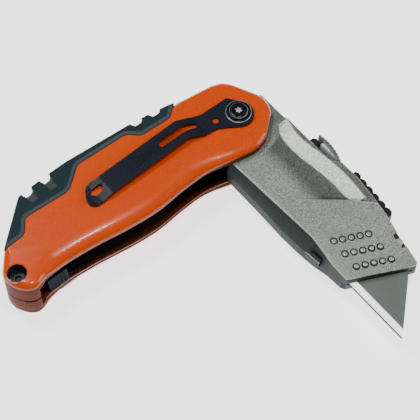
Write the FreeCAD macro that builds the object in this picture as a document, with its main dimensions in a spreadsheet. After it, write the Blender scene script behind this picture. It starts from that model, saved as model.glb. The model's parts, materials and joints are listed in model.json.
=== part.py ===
"""Folding, retractable utility knife, half folded, with its blade out.

Plan frame: the fold pivot is at (0, 0), the handle runs along -X, its slot faces -Y and its
spine +Y.  Z is up from the handle's underside.  Head pieces are drawn with the head straight
open (nose along +X, cutting edge towards -Y) and turned about the pivot by head_turn.
shift_x and shift_y then put the origin under the middle of the whole knife.
"""
import FreeCAD, Part
import math
import os
import Sketcher
from FreeCAD import Vector as V

doc = FreeCAD.newDocument("utility_knife")

# ------------------------------------------------------------------ driving dimensions (mm)
SIZES = {
    "shift_x": 41.71, "shift_y": 36.96, "head_turn": -90.9,
    "handle_thick": 21.0, "shell_thick": 4.5, "inlay_depth": 2.2, "liner_thick": 1.0,
    "edge_round": 1.8, "seam": 0.06, "blade_gap": 0.45,
    "tail_wall_radius": 96.3, "relief_radius": 101.4,
    "pivot_radius": 3.0, "pivot_clear": 0.05, "bolt_head_radius": 4.6, "bolt_head_thick": 1.3,
    "washer_radius": 6.0, "washer_thick": 1.1,
    "tail_x": -99.2, "tail_y": 0.8, "tail_bore": 3.4, "tail_sink": 5.8, "tail_shank": 1.25,
    "stop_x": -8.5, "stop_y": 12.1, "stop_radius": 1.2,
    "clip_thick": 1.0, "clip_lift": 2.2, "screw_head_radius": 3.3, "screw_head_thick": 1.2,
    "clip_washer_radius": 4.6, "clip_washer_thick": 0.4,
    "head_low": 4.8, "head_high": 16.2, "hub_radius": 13.2, "cavity_low": 8.2,
    "cavity_high": 12.8, "nose_half": 3.0,
    "blade_length": 61.0, "blade_width": 19.1, "blade_thick": 0.6, "blade_tip_x": 99.0,
    "blade_edge_y": -10.8, "blade_slant": 17.0, "carrier_low": 8.5,
    "hatch_pin_y": 17.2, "hatch_pin_z": 1.0, "hatch_pin_radius": 0.45, "hatch_thick": 1.25,
}
sheet = doc.addObject("Spreadsheet::Sheet", "dims")
for row, (alias, value) in enumerate(SIZES.items(), 1):
    sheet.set("A%d" % row, alias)
    sheet.set("B%d" % row, str(value))
    sheet.setAlias("B%d" % row, alias)
doc.recompute()


def size(alias):
    return float(sheet.get(alias))


MID = size("handle_thick") / 2
LOW = size("shell_thick")
NODES = []

# ------------------------------------------------------------------ helpers


def poly(points):
    """Closed loop of straight edges."""
    ends = points[1:] + points[:1]
    return [Part.LineSegment(V(*a, 0), V(*b, 0)) for a, b in zip(points, ends)]


def curve(points):
    """Smooth open curve through the points."""
    spline = Part.BSplineCurve()
    spline.interpolate([V(*p, 0) for p in points])
    return [spline]


def run(points):
    """Open chain of straight edges."""
    return [Part.LineSegment(V(*a, 0), V(*b, 0)) for a, b in zip(points, points[1:])]


def arc(start, middle, end):
    return [Part.Arc(V(*start, 0), V(*middle, 0), V(*end, 0))]


def polar(radius, degrees):
    return (radius * math.cos(math.radians(degrees)), radius * math.sin(math.radians(degrees)))


def hub_arc(radius, first, last):
    """Arc about the pivot, from one angle to another, in degrees."""
    return arc(polar(radius, first), polar(radius, (first + last) / 2), polar(radius, last))


def box_loop(x_low, x_high, y_low, y_high):
    return poly([(x_low, y_low), (x_high, y_low), (x_high, y_high), (x_low, y_high)])


def place(obj, group):
    """Bind an object's place to the sheet: shift every node, and turn the head's nodes."""
    if group == "head":
        obj.Placement = FreeCAD.Placement(V(0, 0, 0), FreeCAD.Rotation(V(0, 0, 1), 1))
        obj.setExpression("Placement.Rotation.Angle", "dims.head_turn")
    obj.setExpression("Placement.Base.x", "dims.shift_x")
    obj.setExpression("Placement.Base.y", "dims.shift_y")


def node(obj, name, group="handle"):
    obj.Label = name
    place(obj, group)
    NODES.append(obj)
    return obj


def new_body(name, group="handle"):
    return node(doc.addObject("PartDesign::Body", name), name, group)


def sketch(body, loops, level="0", plane="XY_Plane"):
    """Sketch on one of the body's own origin planes, lifted to a level given as an expression."""
    drawn = body.newObject("Sketcher::SketchObject", body.Name + "_sketch")
    base = [f for f in body.Origin.OriginFeatures if f.Role == plane][0]
    drawn.AttachmentSupport = (base, [""])
    drawn.MapMode = "FlatFace"
    drawn.setExpression("AttachmentOffset.Base.z", level)
    for loop in loops:
        drawn.addGeometry(loop, False)
    return drawn


def circles(body, centres, radius, level="0"):
    """Sketch of equal circles whose radius is an expression of the sheet."""
    drawn = sketch(body, [], level)
    for x, y in centres:
        index = drawn.addGeometry(Part.Circle(V(x, y, 0), V(0, 0, 1), 1.0), False)
        constraint = drawn.addConstraint(Sketcher.Constraint("Radius", index, 1.0))
        drawn.setExpression("Constraints[%d]" % constraint, radius)
    return drawn


def pad(body, drawn, length, middle=False):
    feature = body.newObject("PartDesign::Pad", body.Name + "_pad")
    feature.Profile = drawn
    feature.Midplane = middle
    feature.setExpression("Length", length)
    drawn.Visibility = False
    doc.recompute()
    return feature


def pocket(body, drawn, length, middle=False):
    """Cut upwards from the sketch, and make sure that it removes material."""
    before = body.Shape.Volume
    feature = body.newObject("PartDesign::Pocket", body.Name + "_pocket")
    feature.Profile = drawn
    feature.Midplane = middle
    feature.Reversed = not middle
    feature.setExpression("Length", length)
    doc.recompute()
    if body.Shape.Volume > before - 1e-4:
        raise RuntimeError("pocket in %s removes nothing" % body.Label)
    return feature


def round_edges(body, radius, keep):
    """Fillet the edges that keep() accepts."""
    solid = body.Shape.copy()
    solid.Placement = FreeCAD.Placement()
    names = ["Edge%d" % (i + 1) for i, edge in enumerate(solid.Edges) if keep(edge)]
    base = body.Tip
    feature = body.newObject("PartDesign::Fillet", body.Name + "_round")
    feature.Base = (base, names)
    feature.setExpression("Radius", radius)
    doc.recompute()
    if feature.Shape.isNull() or not feature.isValid():
        raise RuntimeError("no fillet on " + body.Label)
    return feature


def cylinder(name, x, y, low, radius, high):
    """Part cylinder from one level to another, sizes as expressions."""
    obj = doc.addObject("Part::Cylinder", name)
    obj.Placement.Base = V(x, y, 0)
    obj.setExpression("Placement.Base.z", low)
    obj.setExpression("Radius", radius)
    obj.setExpression("Height", "(%s) - (%s)" % (high, low))
    return obj


def fuse(name, parts):
    obj = doc.addObject("Part::MultiFuse", name)
    obj.Shapes = parts
    return obj


def cut(name, base, tool):
    obj = doc.addObject("Part::Cut", name)
    obj.Base = base
    obj.Tool = tool
    return obj


def drive_recess(name, x, y, low, depth=0.9, across=1.25):
    """Six-sided drive recess, as a prism."""
    obj = doc.addObject("Part::Prism", name)
    obj.Polygon = 6
    obj.Circumradius = across
    obj.Placement.Base = V(x, y, 0)
    obj.setExpression("Placement.Base.z", low)
    obj.Height = depth
    return obj


# ------------------------------------------------------------------ outlines of the handle
# Front end and slot side, from the inlay's front end round the pivot to the tail's hook.
FRONT = [(-14.3, 18.9), (0.6, 15.6)]
FRONT_CORNER = [FRONT[1], (4.2, 14.0), (6.3, 11.4)]
FRONT_EDGE = [(6.3, 11.4), (9.7, 4.0)]
NOSE_END = [(9.7, 4.0), (11.2, -0.6), (9.6, -6.0)]
LOWER_FRONT = [(9.6, -6.0), (1.9, -12.9)]
SLOT_SIDE = [(1.9, -12.9), (-3.8, -14.5), (-11.3, -13.2), (-23.3, -10.1), (-34.3, -9.8),
             (-46.3, -10.4), (-58.3, -9.2), (-71.3, -7.0), (-83.3, -5.7), (-92.3, -5.9)]
TAIL = [(-92.3, -5.9), (-97.3, -7.3), (-100.9, -5.3), (-103.4, -0.6), (-103.3, 3.6),
        (-101.0, 6.8), (-97.2, 11.0)]
# The rubber inlay: its notched spine, its edge on the shell's face, and the shell under it.
SPINE = [(-97.2, 11.0), (-89.3, 17.4), (-81.0, 24.2), (-79.5, 24.5), (-79.2, 23.0), (-75.4, 23.2),
         (-74.9, 24.7), (-71.4, 24.8), (-71.0, 23.3), (-67.6, 23.4), (-66.9, 24.9), (-59.3, 24.8),
         (-32.4, 22.2), (-31.7, 20.7), (-28.3, 20.5), (-27.6, 21.4), (-24.9, 21.1), (-24.3, 19.8),
         (-20.9, 19.4), (-20.1, 20.2), (-14.3, 18.9)]
INLAY_EDGE = [(-97.2, 11.0), (-97.0, 10.7), (-89.2, 10.8), (-87.6, 11.7), (-84.6, 15.4),
              (-83.2, 15.9), (-67.0, 14.6), (-64.8, 15.3), (-57.9, 20.4), (-56.3, 20.9),
              (-37.4, 19.7), (-35.7, 19.0), (-32.8, 16.0), (-31.3, 15.5), (-20.4, 14.7),
              (-19.0, 15.2), (-15.2, 18.4), (-14.3, 18.9)]
BOTTOM_EDGE = [(-97.2, 11.0), (-97.0, 10.7), (-94.8, 10.8), (-88.0, 16.4), (-80.4, 20.6), (-60.0, 20.9),
               (-36.0, 19.3), (-30.0, 18.9), (-24.0, 18.5), (-15.2, 18.4), (-14.3, 18.9)]
UNDER_INLAY = [(-97.2, 11.0), (-95.9, 9.5), (-89.0, 15.2), (-80.0, 22.3), (-60.0, 22.8),
               (-33.6, 20.1), (-26.0, 18.4), (-15.4, 17.2), (-14.3, 18.9)]
# Limit of the space that the folded head needs, along the spine.
SPACE_EDGE = [(-86.0, 12.2), (-74.0, 13.0), (-50.0, 15.4), (-30.0, 16.5), (-17.5, 16.6)]


def front_and_slot():
    return (run(FRONT) + arc(*FRONT_CORNER) + run(FRONT_EDGE) + arc(*NOSE_END) + run(LOWER_FRONT)
            + curve(SLOT_SIDE) + curve(TAIL))


def inlay_edge(top):
    return INLAY_EDGE if top else BOTTOM_EDGE


def crossing(chain, radius):
    """Point where a chain of points crosses a circle about the pivot."""
    for (ax, ay), (bx, by) in zip(chain, chain[1:]):
        if (math.hypot(ax, ay) - radius) * (math.hypot(bx, by) - radius) <= 0:
            low, high = 0.0, 1.0
            for _ in range(40):
                middle = (low + high) / 2
                px, py = ax + (bx - ax) * middle, ay + (by - ay) * middle
                near = (math.hypot(px, py) - radius) * (math.hypot(ax, ay) - radius) > 0
                low, high = (middle, high) if near else (low, middle)
            return (ax + (bx - ax) * low, ay + (by - ay) * low)
    raise ValueError("no crossing")


def tail_loop(radius):
    """Tail end of the handle, outside a circle about the pivot."""
    around = TAIL + UNDER_INLAY[1:3]
    outer = [p for p in around if math.hypot(*p) > radius]
    start = crossing(around, radius)
    end = crossing(list(reversed(around)), radius)
    middle = polar(radius, math.degrees(math.atan2(start[1] + end[1], start[0] + end[0])))
    return run([start] + outer + [end]) + arc(end, middle, start)


def liner_loop():
    return (arc((-6.0, 9.0), (9.0, -1.0), (-6.0, -9.0))
            + curve([(-6.0, -9.0), (-16.0, -8.3), (-32.0, -7.0), (-46.0, -7.6), (-60.0, -6.2),
                     (-80.0, -3.0), (-93.5, -3.0)])
            + run([(-93.5, -3.0), (-94.6, -1.5), (-94.6, 7.0), (-89.0, 12.0), (-80.0, 19.0),
                   (-60.0, 20.0), (-33.6, 17.4), (-18.0, 15.0), (-6.0, 9.0)]))


# ------------------------------------------------------------------ handle shells
HATCH_BOX = (-87.0, -20.5, -4.8, 16.6)
STORE_BOX = (-86.4, -24.2, -4.4, 15.4)
LEAF_BOX = (-30.0, -11.6, -4.0, 3.6)
LATCH_SLOT = (-93.2, -87.2, -3.4, 0.6)
SPINE_SCREWS = [(-70.0, 18.6), (-40.0, 18.0)]


def side(top, low, high):
    """Levels of a slice, given from the top face down, for the top or the bottom shell."""
    total = "dims.handle_thick"
    return ("%s - (%s)" % (total, high)) if top else "(%s)" % low


def slice_pad(body, loops, low, high, top):
    """Pad between two depths measured from the shell's outer face."""
    pad(body, sketch(body, loops, side(top, low, high)), "(%s) - (%s)" % (high, low))


def slice_pocket(body, drawn_loops, low, high, top):
    pocket(body, sketch(body, drawn_loops, side(top, low, high)), "(%s) - (%s)" % (high, low))


def slice_holes(body, centres, radius, low, high, top):
    drawn = circles(body, centres, radius, side(top, low, high))
    pocket(body, drawn, "(%s) - (%s)" % (high, low))


def shell(name, top):
    """One painted shell: face plate with a step for the inlay, tail wall, liner seat, holes."""
    body = new_body(name)
    shell_deep = "dims.shell_thick"
    middle = "dims.handle_thick / 2 - dims.seam"
    slice_pad(body, [front_and_slot() + run(UNDER_INLAY)], "dims.inlay_depth", shell_deep, top)
    slice_pad(body, [front_and_slot() + run(inlay_edge(top))], "0", "dims.inlay_depth", top)
    slice_pad(body, [tail_loop(size("tail_wall_radius"))], shell_deep,
              "dims.handle_thick / 2 - dims.blade_gap", top)
    slice_pad(body, [tail_loop(size("relief_radius"))],
              "dims.handle_thick / 2 - dims.blade_gap", middle, top)
    slice_pocket(body, [liner_loop()], shell_deep + " - dims.liner_thick", shell_deep, top)
    face = size("handle_thick") if top else 0.0
    limit = size("edge_round") * 0.5

    def outer_edge(edge):
        box = edge.BoundBox
        flat = abs(box.ZMin - face) < 1e-4 and abs(box.ZMax - face) < 1e-4
        centre = edge.CenterOfMass
        outside = box.YMin < -5.5 or box.XMax > 0 and math.hypot(centre.x, centre.y) > 8
        rim = len(edge.Vertexes) < 2
        return flat and outside and not rim and edge.Length > limit

    round_edges(body, "dims.edge_round", outer_edge)
    return body


def finish_shell(body, top):
    slice_holes(body, [(0, 0)], "dims.pivot_radius + dims.pivot_clear", "0",
                "dims.shell_thick", top)
    slice_holes(body, [(size("tail_x"), size("tail_y"))], "dims.tail_bore", "0",
                "dims.tail_sink", top)
    slice_holes(body, [(size("tail_x"), size("tail_y"))], "dims.tail_shank + 0.1",
                "dims.tail_sink", "dims.tail_sink + 1.6", top)
    slice_holes(body, [(size("tail_x"), size("tail_y"))], "dims.tail_bore + 0.05",
                "dims.tail_sink + 1.6", "dims.handle_thick / 2", top)
    slice_holes(body, [(size("stop_x"), size("stop_y"))], "dims.stop_radius",
                "dims.shell_thick - 1.8", "dims.shell_thick", top)


top_shell = shell("top_shell", True)
finish_shell(top_shell, True)

bottom_shell = shell("bottom_shell", False)
slice_pocket(bottom_shell, [box_loop(*HATCH_BOX)], "0", "dims.hatch_thick + 0.15", False)
slice_pocket(bottom_shell, [box_loop(*STORE_BOX)], "dims.hatch_thick + 0.15",
             "dims.shell_thick - dims.liner_thick", False)
slice_pocket(bottom_shell, [box_loop(*LATCH_SLOT)], "dims.hatch_thick + 0.15",
             "dims.shell_thick", False)
slice_pocket(bottom_shell, [box_loop(LEAF_BOX[0] - 0.7, LEAF_BOX[1] + 0.6, LEAF_BOX[2] - 0.3,
                                     LEAF_BOX[3] + 0.3)],
             "dims.shell_thick - dims.liner_thick - 1.2", "dims.shell_thick - dims.liner_thick",
             False)
slice_pocket(bottom_shell, [box_loop(HATCH_BOX[0] + 4, HATCH_BOX[1] - 4, 16.2, 18.4)],
             "0", "2.2", False)
finish_shell(bottom_shell, False)
slice_holes(bottom_shell, [(0, 0)], "dims.bolt_head_radius + 0.1", "0",
            "dims.bolt_head_thick + 0.4", False)
slice_holes(bottom_shell, SPINE_SCREWS, "1.15", "0", "dims.shell_thick", False)
slice_holes(top_shell, SPINE_SCREWS, "1.0", "dims.shell_thick - 2", "dims.shell_thick", True)


def grip(name, top):
    """Rubber inlay: a plate let into the shell's face and a notched skirt down the spine."""
    body = new_body(name)
    slice_pad(body, [run(SPINE) + run(list(reversed(UNDER_INLAY)))], "dims.inlay_depth",
              "dims.handle_thick / 2 - dims.seam", top)
    slice_pad(body, [run(SPINE) + run(list(reversed(inlay_edge(top))))], "0.05",
              "dims.inlay_depth", top)
    return body


grip("top_grip", True)
grip("bottom_grip", False)


def liner(name, top):
    """Steel liner let into the shell's inner face."""
    body = new_body(name)
    low = "dims.shell_thick - dims.liner_thick"
    slice_pad(body, [liner_loop()], low, "dims.shell_thick", top)
    slice_holes(body, [(0, 0)], "dims.pivot_radius + dims.pivot_clear", low, "dims.shell_thick",
                top)
    slice_holes(body, SPINE_SCREWS, "1.15", low, "dims.shell_thick", top)
    return body


liner("top_liner", True)
bottom_liner = liner("bottom_liner", False)
slice_pocket(bottom_liner, [box_loop(LEAF_BOX[0] - 0.7, LEAF_BOX[1] + 0.3, LEAF_BOX[2] - 0.3,
                                     LEAF_BOX[3] + 0.3)],
             "dims.shell_thick - dims.liner_thick", "dims.shell_thick", False)
slice_pocket(bottom_liner, [box_loop(*LATCH_SLOT)], "dims.shell_thick - dims.liner_thick",
             "dims.shell_thick", False)

# ------------------------------------------------------------------ pieces between the shells
spacer = new_body("back_spacer")
pad(spacer, sketch(spacer, [run(SPACE_EDGE + [(-17.5, 17.4), (-26.0, 18.35), (-33.6, 20.05),
                                              (-60.0, 22.75), (-80.0, 22.25), (-86.0, 17.5),
                                              (-86.0, 12.2)])], "dims.shell_thick + 0.02"),
    "dims.handle_thick - 2 * dims.shell_thick - 0.04")
pocket(spacer, circles(spacer, SPINE_SCREWS, "1.15"), "dims.handle_thick")

tail_block = new_body("tail_block")
TAIL_POINT = (size("tail_x"), size("tail_y"))
pad(tail_block, circles(tail_block, [TAIL_POINT], "dims.tail_bore", "dims.tail_sink + 1.65"),
    "dims.handle_thick - 2 * dims.tail_sink - 3.3")
pocket(tail_block, sketch(tail_block, [poly([(-85.0, -9.0), polar(101.45, 185.5),
                                             polar(101.45, 182.0), polar(101.45, 179.0),
                                             polar(101.45, 176.5), (-85.0, 9.0)])],
                          "dims.handle_thick / 2 - dims.blade_gap"), "2 * dims.blade_gap")
pocket(tail_block, circles(tail_block, [TAIL_POINT], "dims.tail_shank + 0.02", "7"), "7")


def tail_screw(name, top):
    """Short machine screw sunk in the tail's deep bore; it stops clear of the blade relief."""
    total = "dims.handle_thick"
    x, y = TAIL_POINT
    if top:
        head_low, head_high = total + " - dims.tail_sink", total + " - dims.tail_sink + 1.6"
        shank_low, recess = total + " / 2 + dims.blade_gap + 0.35", head_high + " - 0.9"
        shank = cylinder(name + "_shank", x, y, shank_low, "dims.tail_shank", head_low)
    else:
        head_low, head_high = "dims.tail_sink - 1.6", "dims.tail_sink"
        shank_high = total + " / 2 - dims.blade_gap - 0.35"
        recess = head_low
        shank = cylinder(name + "_shank", x, y, head_high, "dims.tail_shank", shank_high)
    head = cylinder(name + "_head", x, y, head_low, "2.5", head_high)
    return cut(name, fuse(name + "_solid", [head, shank]), drive_recess(name + "_hex", x, y, recess))


screws = doc.addObject("Part::Compound", "tail_screws")
screws.Links = [tail_screw("tail_screw_top", True), tail_screw("tail_screw_bottom", False)]
node(screws, "tail_screws")

long_screws = []
for number, (x, y) in enumerate(SPINE_SCREWS):
    title = "spine_screw_%d" % number
    shank = cylinder(title + "_shank", x, y, "dims.inlay_depth + 0.05", "1.0",
                     "dims.handle_thick - dims.shell_thick + 1.9")
    long_screws.append(shank)
spine = doc.addObject("Part::Compound", "spine_screws")
spine.Links = long_screws
node(spine, "spine_screws")

stop = cylinder("stop_pin_rod", size("stop_x"), size("stop_y"), "dims.shell_thick - 1.7",
                "dims.stop_radius - 0.01", "dims.handle_thick - dims.shell_thick + 1.7")
stop_bound = doc.addObject("Part::Compound", "stop_pin_group")
stop_bound.Links = [stop]
node(stop_bound, "stop_pin")

# ------------------------------------------------------------------ pivot
barrel = cylinder("pivot_barrel", 0, 0, "0.4", "dims.pivot_radius", "dims.handle_thick - 0.8")
flange = cylinder("pivot_flange", 0, 0, "0.35", "dims.bolt_head_radius",
                  "0.35 + dims.bolt_head_thick")
bore = cylinder("pivot_bore", 0, 0, "11", "1.55", "dims.handle_thick")
bolt = cut("pivot_bolt_solid", fuse("pivot_bolt_blank", [barrel, flange]), bore)
bolt = cut("pivot_bolt", bolt, drive_recess("pivot_bolt_hex", 0, 0, "0.3", 1.2, 2.0))
node(bolt, "pivot_bolt")

screw_low = "dims.handle_thick + dims.clip_thick + dims.clip_washer_thick"
screw_head = cylinder("screw_head", 0, 0, screw_low, "dims.screw_head_radius",
                      screw_low + " + dims.screw_head_thick")
screw_shank = cylinder("screw_shank", 0, 0, "12", "1.5", screw_low)
pivot_screw = cut("pivot_screw", fuse("pivot_screw_blank", [screw_head, screw_shank]),
                  drive_recess("pivot_screw_hex", 0, 0,
                               screw_low + " + dims.screw_head_thick - 0.9", 1.2, 1.6))
node(pivot_screw, "pivot_screw")


def ring(name, low, outer, inner, high):
    return cut(name, cylinder(name + "_disc", 0, 0, low, outer, high),
               cylinder(name + "_hole", 0, 0, low, inner, high))


clip_washer = ring("clip_washer", "dims.handle_thick + dims.clip_thick", "dims.clip_washer_radius",
                   "1.6", screw_low)
node(clip_washer, "clip_washer")
washers = doc.addObject("Part::Compound", "pivot_washers")
washers.Links = [
    ring("washer_low", "dims.shell_thick + 0.03", "dims.washer_radius", "dims.pivot_radius + 0.02",
         "dims.shell_thick + 0.03 + dims.washer_thick"),
    ring("washer_high", "dims.handle_thick - dims.shell_thick - 0.03 - dims.washer_thick",
         "dims.washer_radius", "dims.pivot_radius + 0.02",
         "dims.handle_thick - dims.shell_thick - 0.03")]
node(washers, "pivot_washers")

# ------------------------------------------------------------------ pocket clip
clip = new_body("pocket_clip")
clip_plan = (run([(-62.0, 2.9), (-20.4, 2.6), (-15.6, 0.4), (-10.2, -0.2), (-4.2, -4.2)])
             + arc((-4.2, -4.2), (3.6, -4.4), (4.2, 2.4)) + run([(4.2, 2.4), (0.6, 7.4),
             (-11.0, 8.0), (-15.6, 9.8), (-20.4, 10.9), (-57.0, 11.3)])
             + arc((-57.0, 11.3), (-60.6, 11.4), (-62.9, 8.6))
             + arc((-62.9, 8.6), (-63.9, 4.6), (-62.0, 2.9)))
slot_plan = poly([(-30.8, 5.7), (-18.2, 5.2), (-15.4, 4.4), (-15.4, 6.6), (-18.2, 8.0),
                  (-29.6, 8.5), (-31.6, 6.6)])
tip_plan = poly([(-60.2, 6.2), (-57.6, 6.2), (-56.0, 8.4), (-57.0, 9.1), (-60.2, 9.2),
                 (-61.6, 7.8)])
pad(clip, sketch(clip, [clip_plan, slot_plan, tip_plan], "dims.handle_thick"),
    "dims.clip_thick + dims.clip_lift + 1")
pocket(clip, circles(clip, [(0, 0)], "1.6", "dims.handle_thick"), "2")
pocket(clip, circles(clip, [(-8.6, 2.7)], "1.2", "dims.handle_thick"), "2")
base = size("handle_thick")
rise, thick = size("clip_lift"), size("clip_thick")
under = [(-70.0, base), (-62.6, base + 0.05), (-59.6, base + 0.05), (-55.0, base + rise * 0.62),
         (-20.6, base + rise), (-14.0, base + 0.02), (8.0, base + 0.02), (8.0, base - 1),
         (-70.0, base - 1)]
over = [(8.0, base + thick), (-14.4, base + thick), (-21.0, base + rise + thick),
        (-55.4, base + rise * 0.62 + thick), (-60.0, base + thick), (-62.4, base + thick),
        (-66.0, base + thick + 1.2), (-66.0, base + 6), (8.0, base + 6)]
pocket(clip, sketch(clip, [poly(under)], "0", "XZ_Plane"), "60", True)
pocket(clip, sketch(clip, [poly(over)], "0", "XZ_Plane"), "60", True)

# ------------------------------------------------------------------ spare blades and their hatch


def blade_loop(tip_x, edge_y, length, width, slant, notch=True):
    """Trapezoid blade: cutting edge below, two square notches in its back."""
    rear = tip_x - length
    top = edge_y + width
    middle = tip_x - length / 2
    points = [(tip_x, edge_y), (tip_x - slant, top)]
    if notch:
        for offset in (7.0, -4.0):
            points += [(middle + offset, top), (middle + offset, top - 2.2),
                       (middle + offset - 3.0, top - 2.2), (middle + offset - 3.0, top)]
    points += [(rear + slant, top), (rear, edge_y)]
    return poly(points)


spares = []
for number in range(3):
    spare = doc.addObject("PartDesign::Body", "spare_blade_%d" % number)
    outline = blade_loop(-25.0, -4.0, size("blade_length"), size("blade_width"),
                         size("blade_slant"))
    level = "dims.hatch_thick + 0.22 + %d * (dims.blade_thick + 0.02)" % number
    pad(spare, sketch(spare, [outline], level), "dims.blade_thick")
    spares.append(spare)
spare_pack = doc.addObject("Part::Compound", "spare_blades")
spare_pack.Links = spares
node(spare_pack, "spare_blades")

hatch = new_body("storage_hatch")
pad(hatch, sketch(hatch, [box_loop(HATCH_BOX[0] + 0.25, HATCH_BOX[1] - 0.25, HATCH_BOX[2] + 0.25,
                                   HATCH_BOX[3] - 0.7)], "0.05"), "dims.hatch_thick - 0.05")
HINGE_ENDS = [(-82.0, -66.0), (-42.0, -26.0)]
for first, last in HINGE_ENDS:
    strap = sketch(hatch, [box_loop(first, last, 15.0, size("hatch_pin_y"))], "0.3")
    pad(hatch, strap, "dims.hatch_thick - 0.3")
    knuckle = sketch(hatch, [[Part.Circle(V(size("hatch_pin_y"), size("hatch_pin_z"), 0),
                                          V(0, 0, 1), 0.85)]], str(first), "YZ_Plane")
    pad(hatch, knuckle, str(last - first))
pin_hole = sketch(hatch, [[Part.Circle(V(size("hatch_pin_y"), size("hatch_pin_z"), 0),
                                       V(0, 0, 1), size("hatch_pin_radius") + 0.05)]],
                  "-90", "YZ_Plane")
pocket(hatch, pin_hole, "80")
hatch_pin = doc.addObject("Part::Cylinder", "hatch_pin_rod")
hatch_pin.setExpression("Radius", "dims.hatch_pin_radius")
hatch_pin.Height = 58.46
hatch_pin.Placement = FreeCAD.Placement(V(-82.98, 0, 0), FreeCAD.Rotation(V(0, 1, 0), 90))
hatch_pin.setExpression("Placement.Base.y", "dims.hatch_pin_y")
hatch_pin.setExpression("Placement.Base.z", "dims.hatch_pin_z")
pin_group = doc.addObject("Part::Compound", "hatch_pin_group")
pin_group.Links = [hatch_pin]
node(pin_group, "hatch_pin")

latch = new_body("hatch_latch")
RAMP = [(-5.0, 4.65), (-3.6, 9.6), (-2.2, 9.6), (1.2, 6.2), (1.2, 4.65)]
ramp_sketch = sketch(latch, [poly(RAMP)], "-90.8", "YZ_Plane")
pad(latch, ramp_sketch, "8.3")
pad(latch, sketch(latch, [box_loop(-90.6, -87.5, -3.1, 0.3)], "dims.hatch_thick + 0.3"), "3.4")
rib_pitch = 1.35
for number in range(5):
    groove_x = -90.0 + number * rib_pitch
    groove = sketch(latch, [poly([(-5.4, 4.9), (-3.95, 9.9), (-3.45, 9.9), (-4.75, 4.9)])],
                    "%.3f" % groove_x, "YZ_Plane")
    pocket(latch, groove, "0.6")

leaf = new_body("lock_leaf")
pad(leaf, sketch(leaf, [box_loop(*LEAF_BOX)], "dims.shell_thick - dims.liner_thick + 0.1"),
    "dims.liner_thick - 0.2")
roll = sketch(leaf, [[Part.Circle(V(LEAF_BOX[0], LOW - size("liner_thick") / 2, 0), V(0, 0, 1),
                                  0.42)]], str(-LEAF_BOX[3]), "XZ_Plane")
pad(leaf, roll, str(LEAF_BOX[3] - LEAF_BOX[2]))

# ------------------------------------------------------------------ outlines of the head
SHOULDER = -53.0
REAR_TOP = math.degrees(math.atan2(12.5, -4.2))
BACK_EDGE = [(-4.2, 12.5), (-3.2, 13.8), (9.0, 13.9), (11.0, 14.5), (22.0, 14.5), (33.0, 14.6),
             (37.0, 17.2), (45.0, 17.3), (54.0, 16.3), (62.0, 15.3), (70.0, 13.6)]
NOSE = [(70.0, 13.6), (82.6, 11.4), (83.2, 10.0), (72.2, -12.4), (70.6, -13.2)]
LOWER = [(70.6, -13.2), (58.0, -14.6), (42.0, -15.2), (28.0, -15.0), (15.5, -14.9)]


def head_loop():
    """Outline of the head: hub about the pivot, back edge, nose and lower side."""
    lock_flat = [polar(size("hub_radius"), 149), polar(size("hub_radius"), 211)]
    shoulder_end = (11.3, -14.99)
    return (run(list(reversed(BACK_EDGE))) + run([BACK_EDGE[0], polar(13.2, REAR_TOP)])
            + hub_arc(size("hub_radius"), REAR_TOP, 149) + run(lock_flat)
            + hub_arc(size("hub_radius"), 211, 360 + SHOULDER)
            + run([polar(size("hub_radius"), SHOULDER), shoulder_end])
            + run([shoulder_end] + list(reversed(LOWER))) + run(list(reversed(NOSE))))


CAVITY = [(-7.5, 7.0), (9.0, 7.0), (9.0, -8.0), (11.4, -12.0), (54.0, -12.6), (68.0, -11.6),
          (90.0, -11.6), (90.0, 9.2), (66.0, 10.4), (60.0, 10.9), (-7.5, 10.9)]
STEM_SLOT = (-9.0, 35.6, 10.0, 20.0)
LEVER_SLOT = (41.2, 63.8, 11.3, 20.0)
HEAD_SCREWS = [(8.0, -6.2), (39.0, 14.4), (67.0, 12.3)]


def head_half(name, top):
    """Half of the head, with its share of the cavity, the slots and the nose's taper."""
    body = new_body(name, "head")
    middle = "dims.handle_thick / 2"
    low, high = (middle + " + 0.01", "dims.head_high") if top else ("dims.head_low", middle)
    pad(body, sketch(body, [head_loop()], low), "(%s) - (%s)" % (high, low))
    if top:
        pocket(body, sketch(body, [poly(CAVITY)], middle), "dims.cavity_high - " + middle)
    else:
        pocket(body, sketch(body, [poly(CAVITY)], "dims.cavity_low"),
               middle + " - dims.cavity_low")
    for slot, half in ((STEM_SLOT, "2.0"), (LEVER_SLOT, "3.4")):
        level = middle if top else middle + " - " + half
        pocket(body, sketch(body, [box_loop(*slot)], level), half)
    recess = "dims.washer_thick + 0.03 - 0.3 + 0.05"
    level = "dims.head_high - (%s)" % recess if top else "dims.head_low"
    pocket(body, circles(body, [(0, 0)], "dims.washer_radius + 0.2", level), recess)
    pocket(body, circles(body, [(0, 0)], "dims.pivot_radius + dims.pivot_clear"),
           "dims.handle_thick")
    return body


def taper(body, top):
    """Slant the nose's face down towards the mouth."""
    face = size("head_high") if top else size("head_low")
    slope = 1 if top else -1
    mouth = MID + slope * size("nose_half")
    wedge = poly([(53.0, face), (84.0, mouth), (100.0, mouth), (100.0, face + slope * 3),
                  (53.0, face + slope * 3)])
    pocket(body, sketch(body, [wedge], "0", "XZ_Plane"), "80", True)


housing = head_half("head_housing", True)
taper(housing, True)
cover = head_half("head_cover", False)
taper(cover, False)

# The lower flank of the near half is a bevel from the face down to the parting line.
flank = sketch(housing, [poly([(-11.2, size("head_high") + 1), (-12.0, size("head_high")),
                               (-15.6, MID), (-18.0, MID), (-18.0, size("head_high") + 1)])],
               "15", "YZ_Plane")
pocket(housing, flank, "70")

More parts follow.
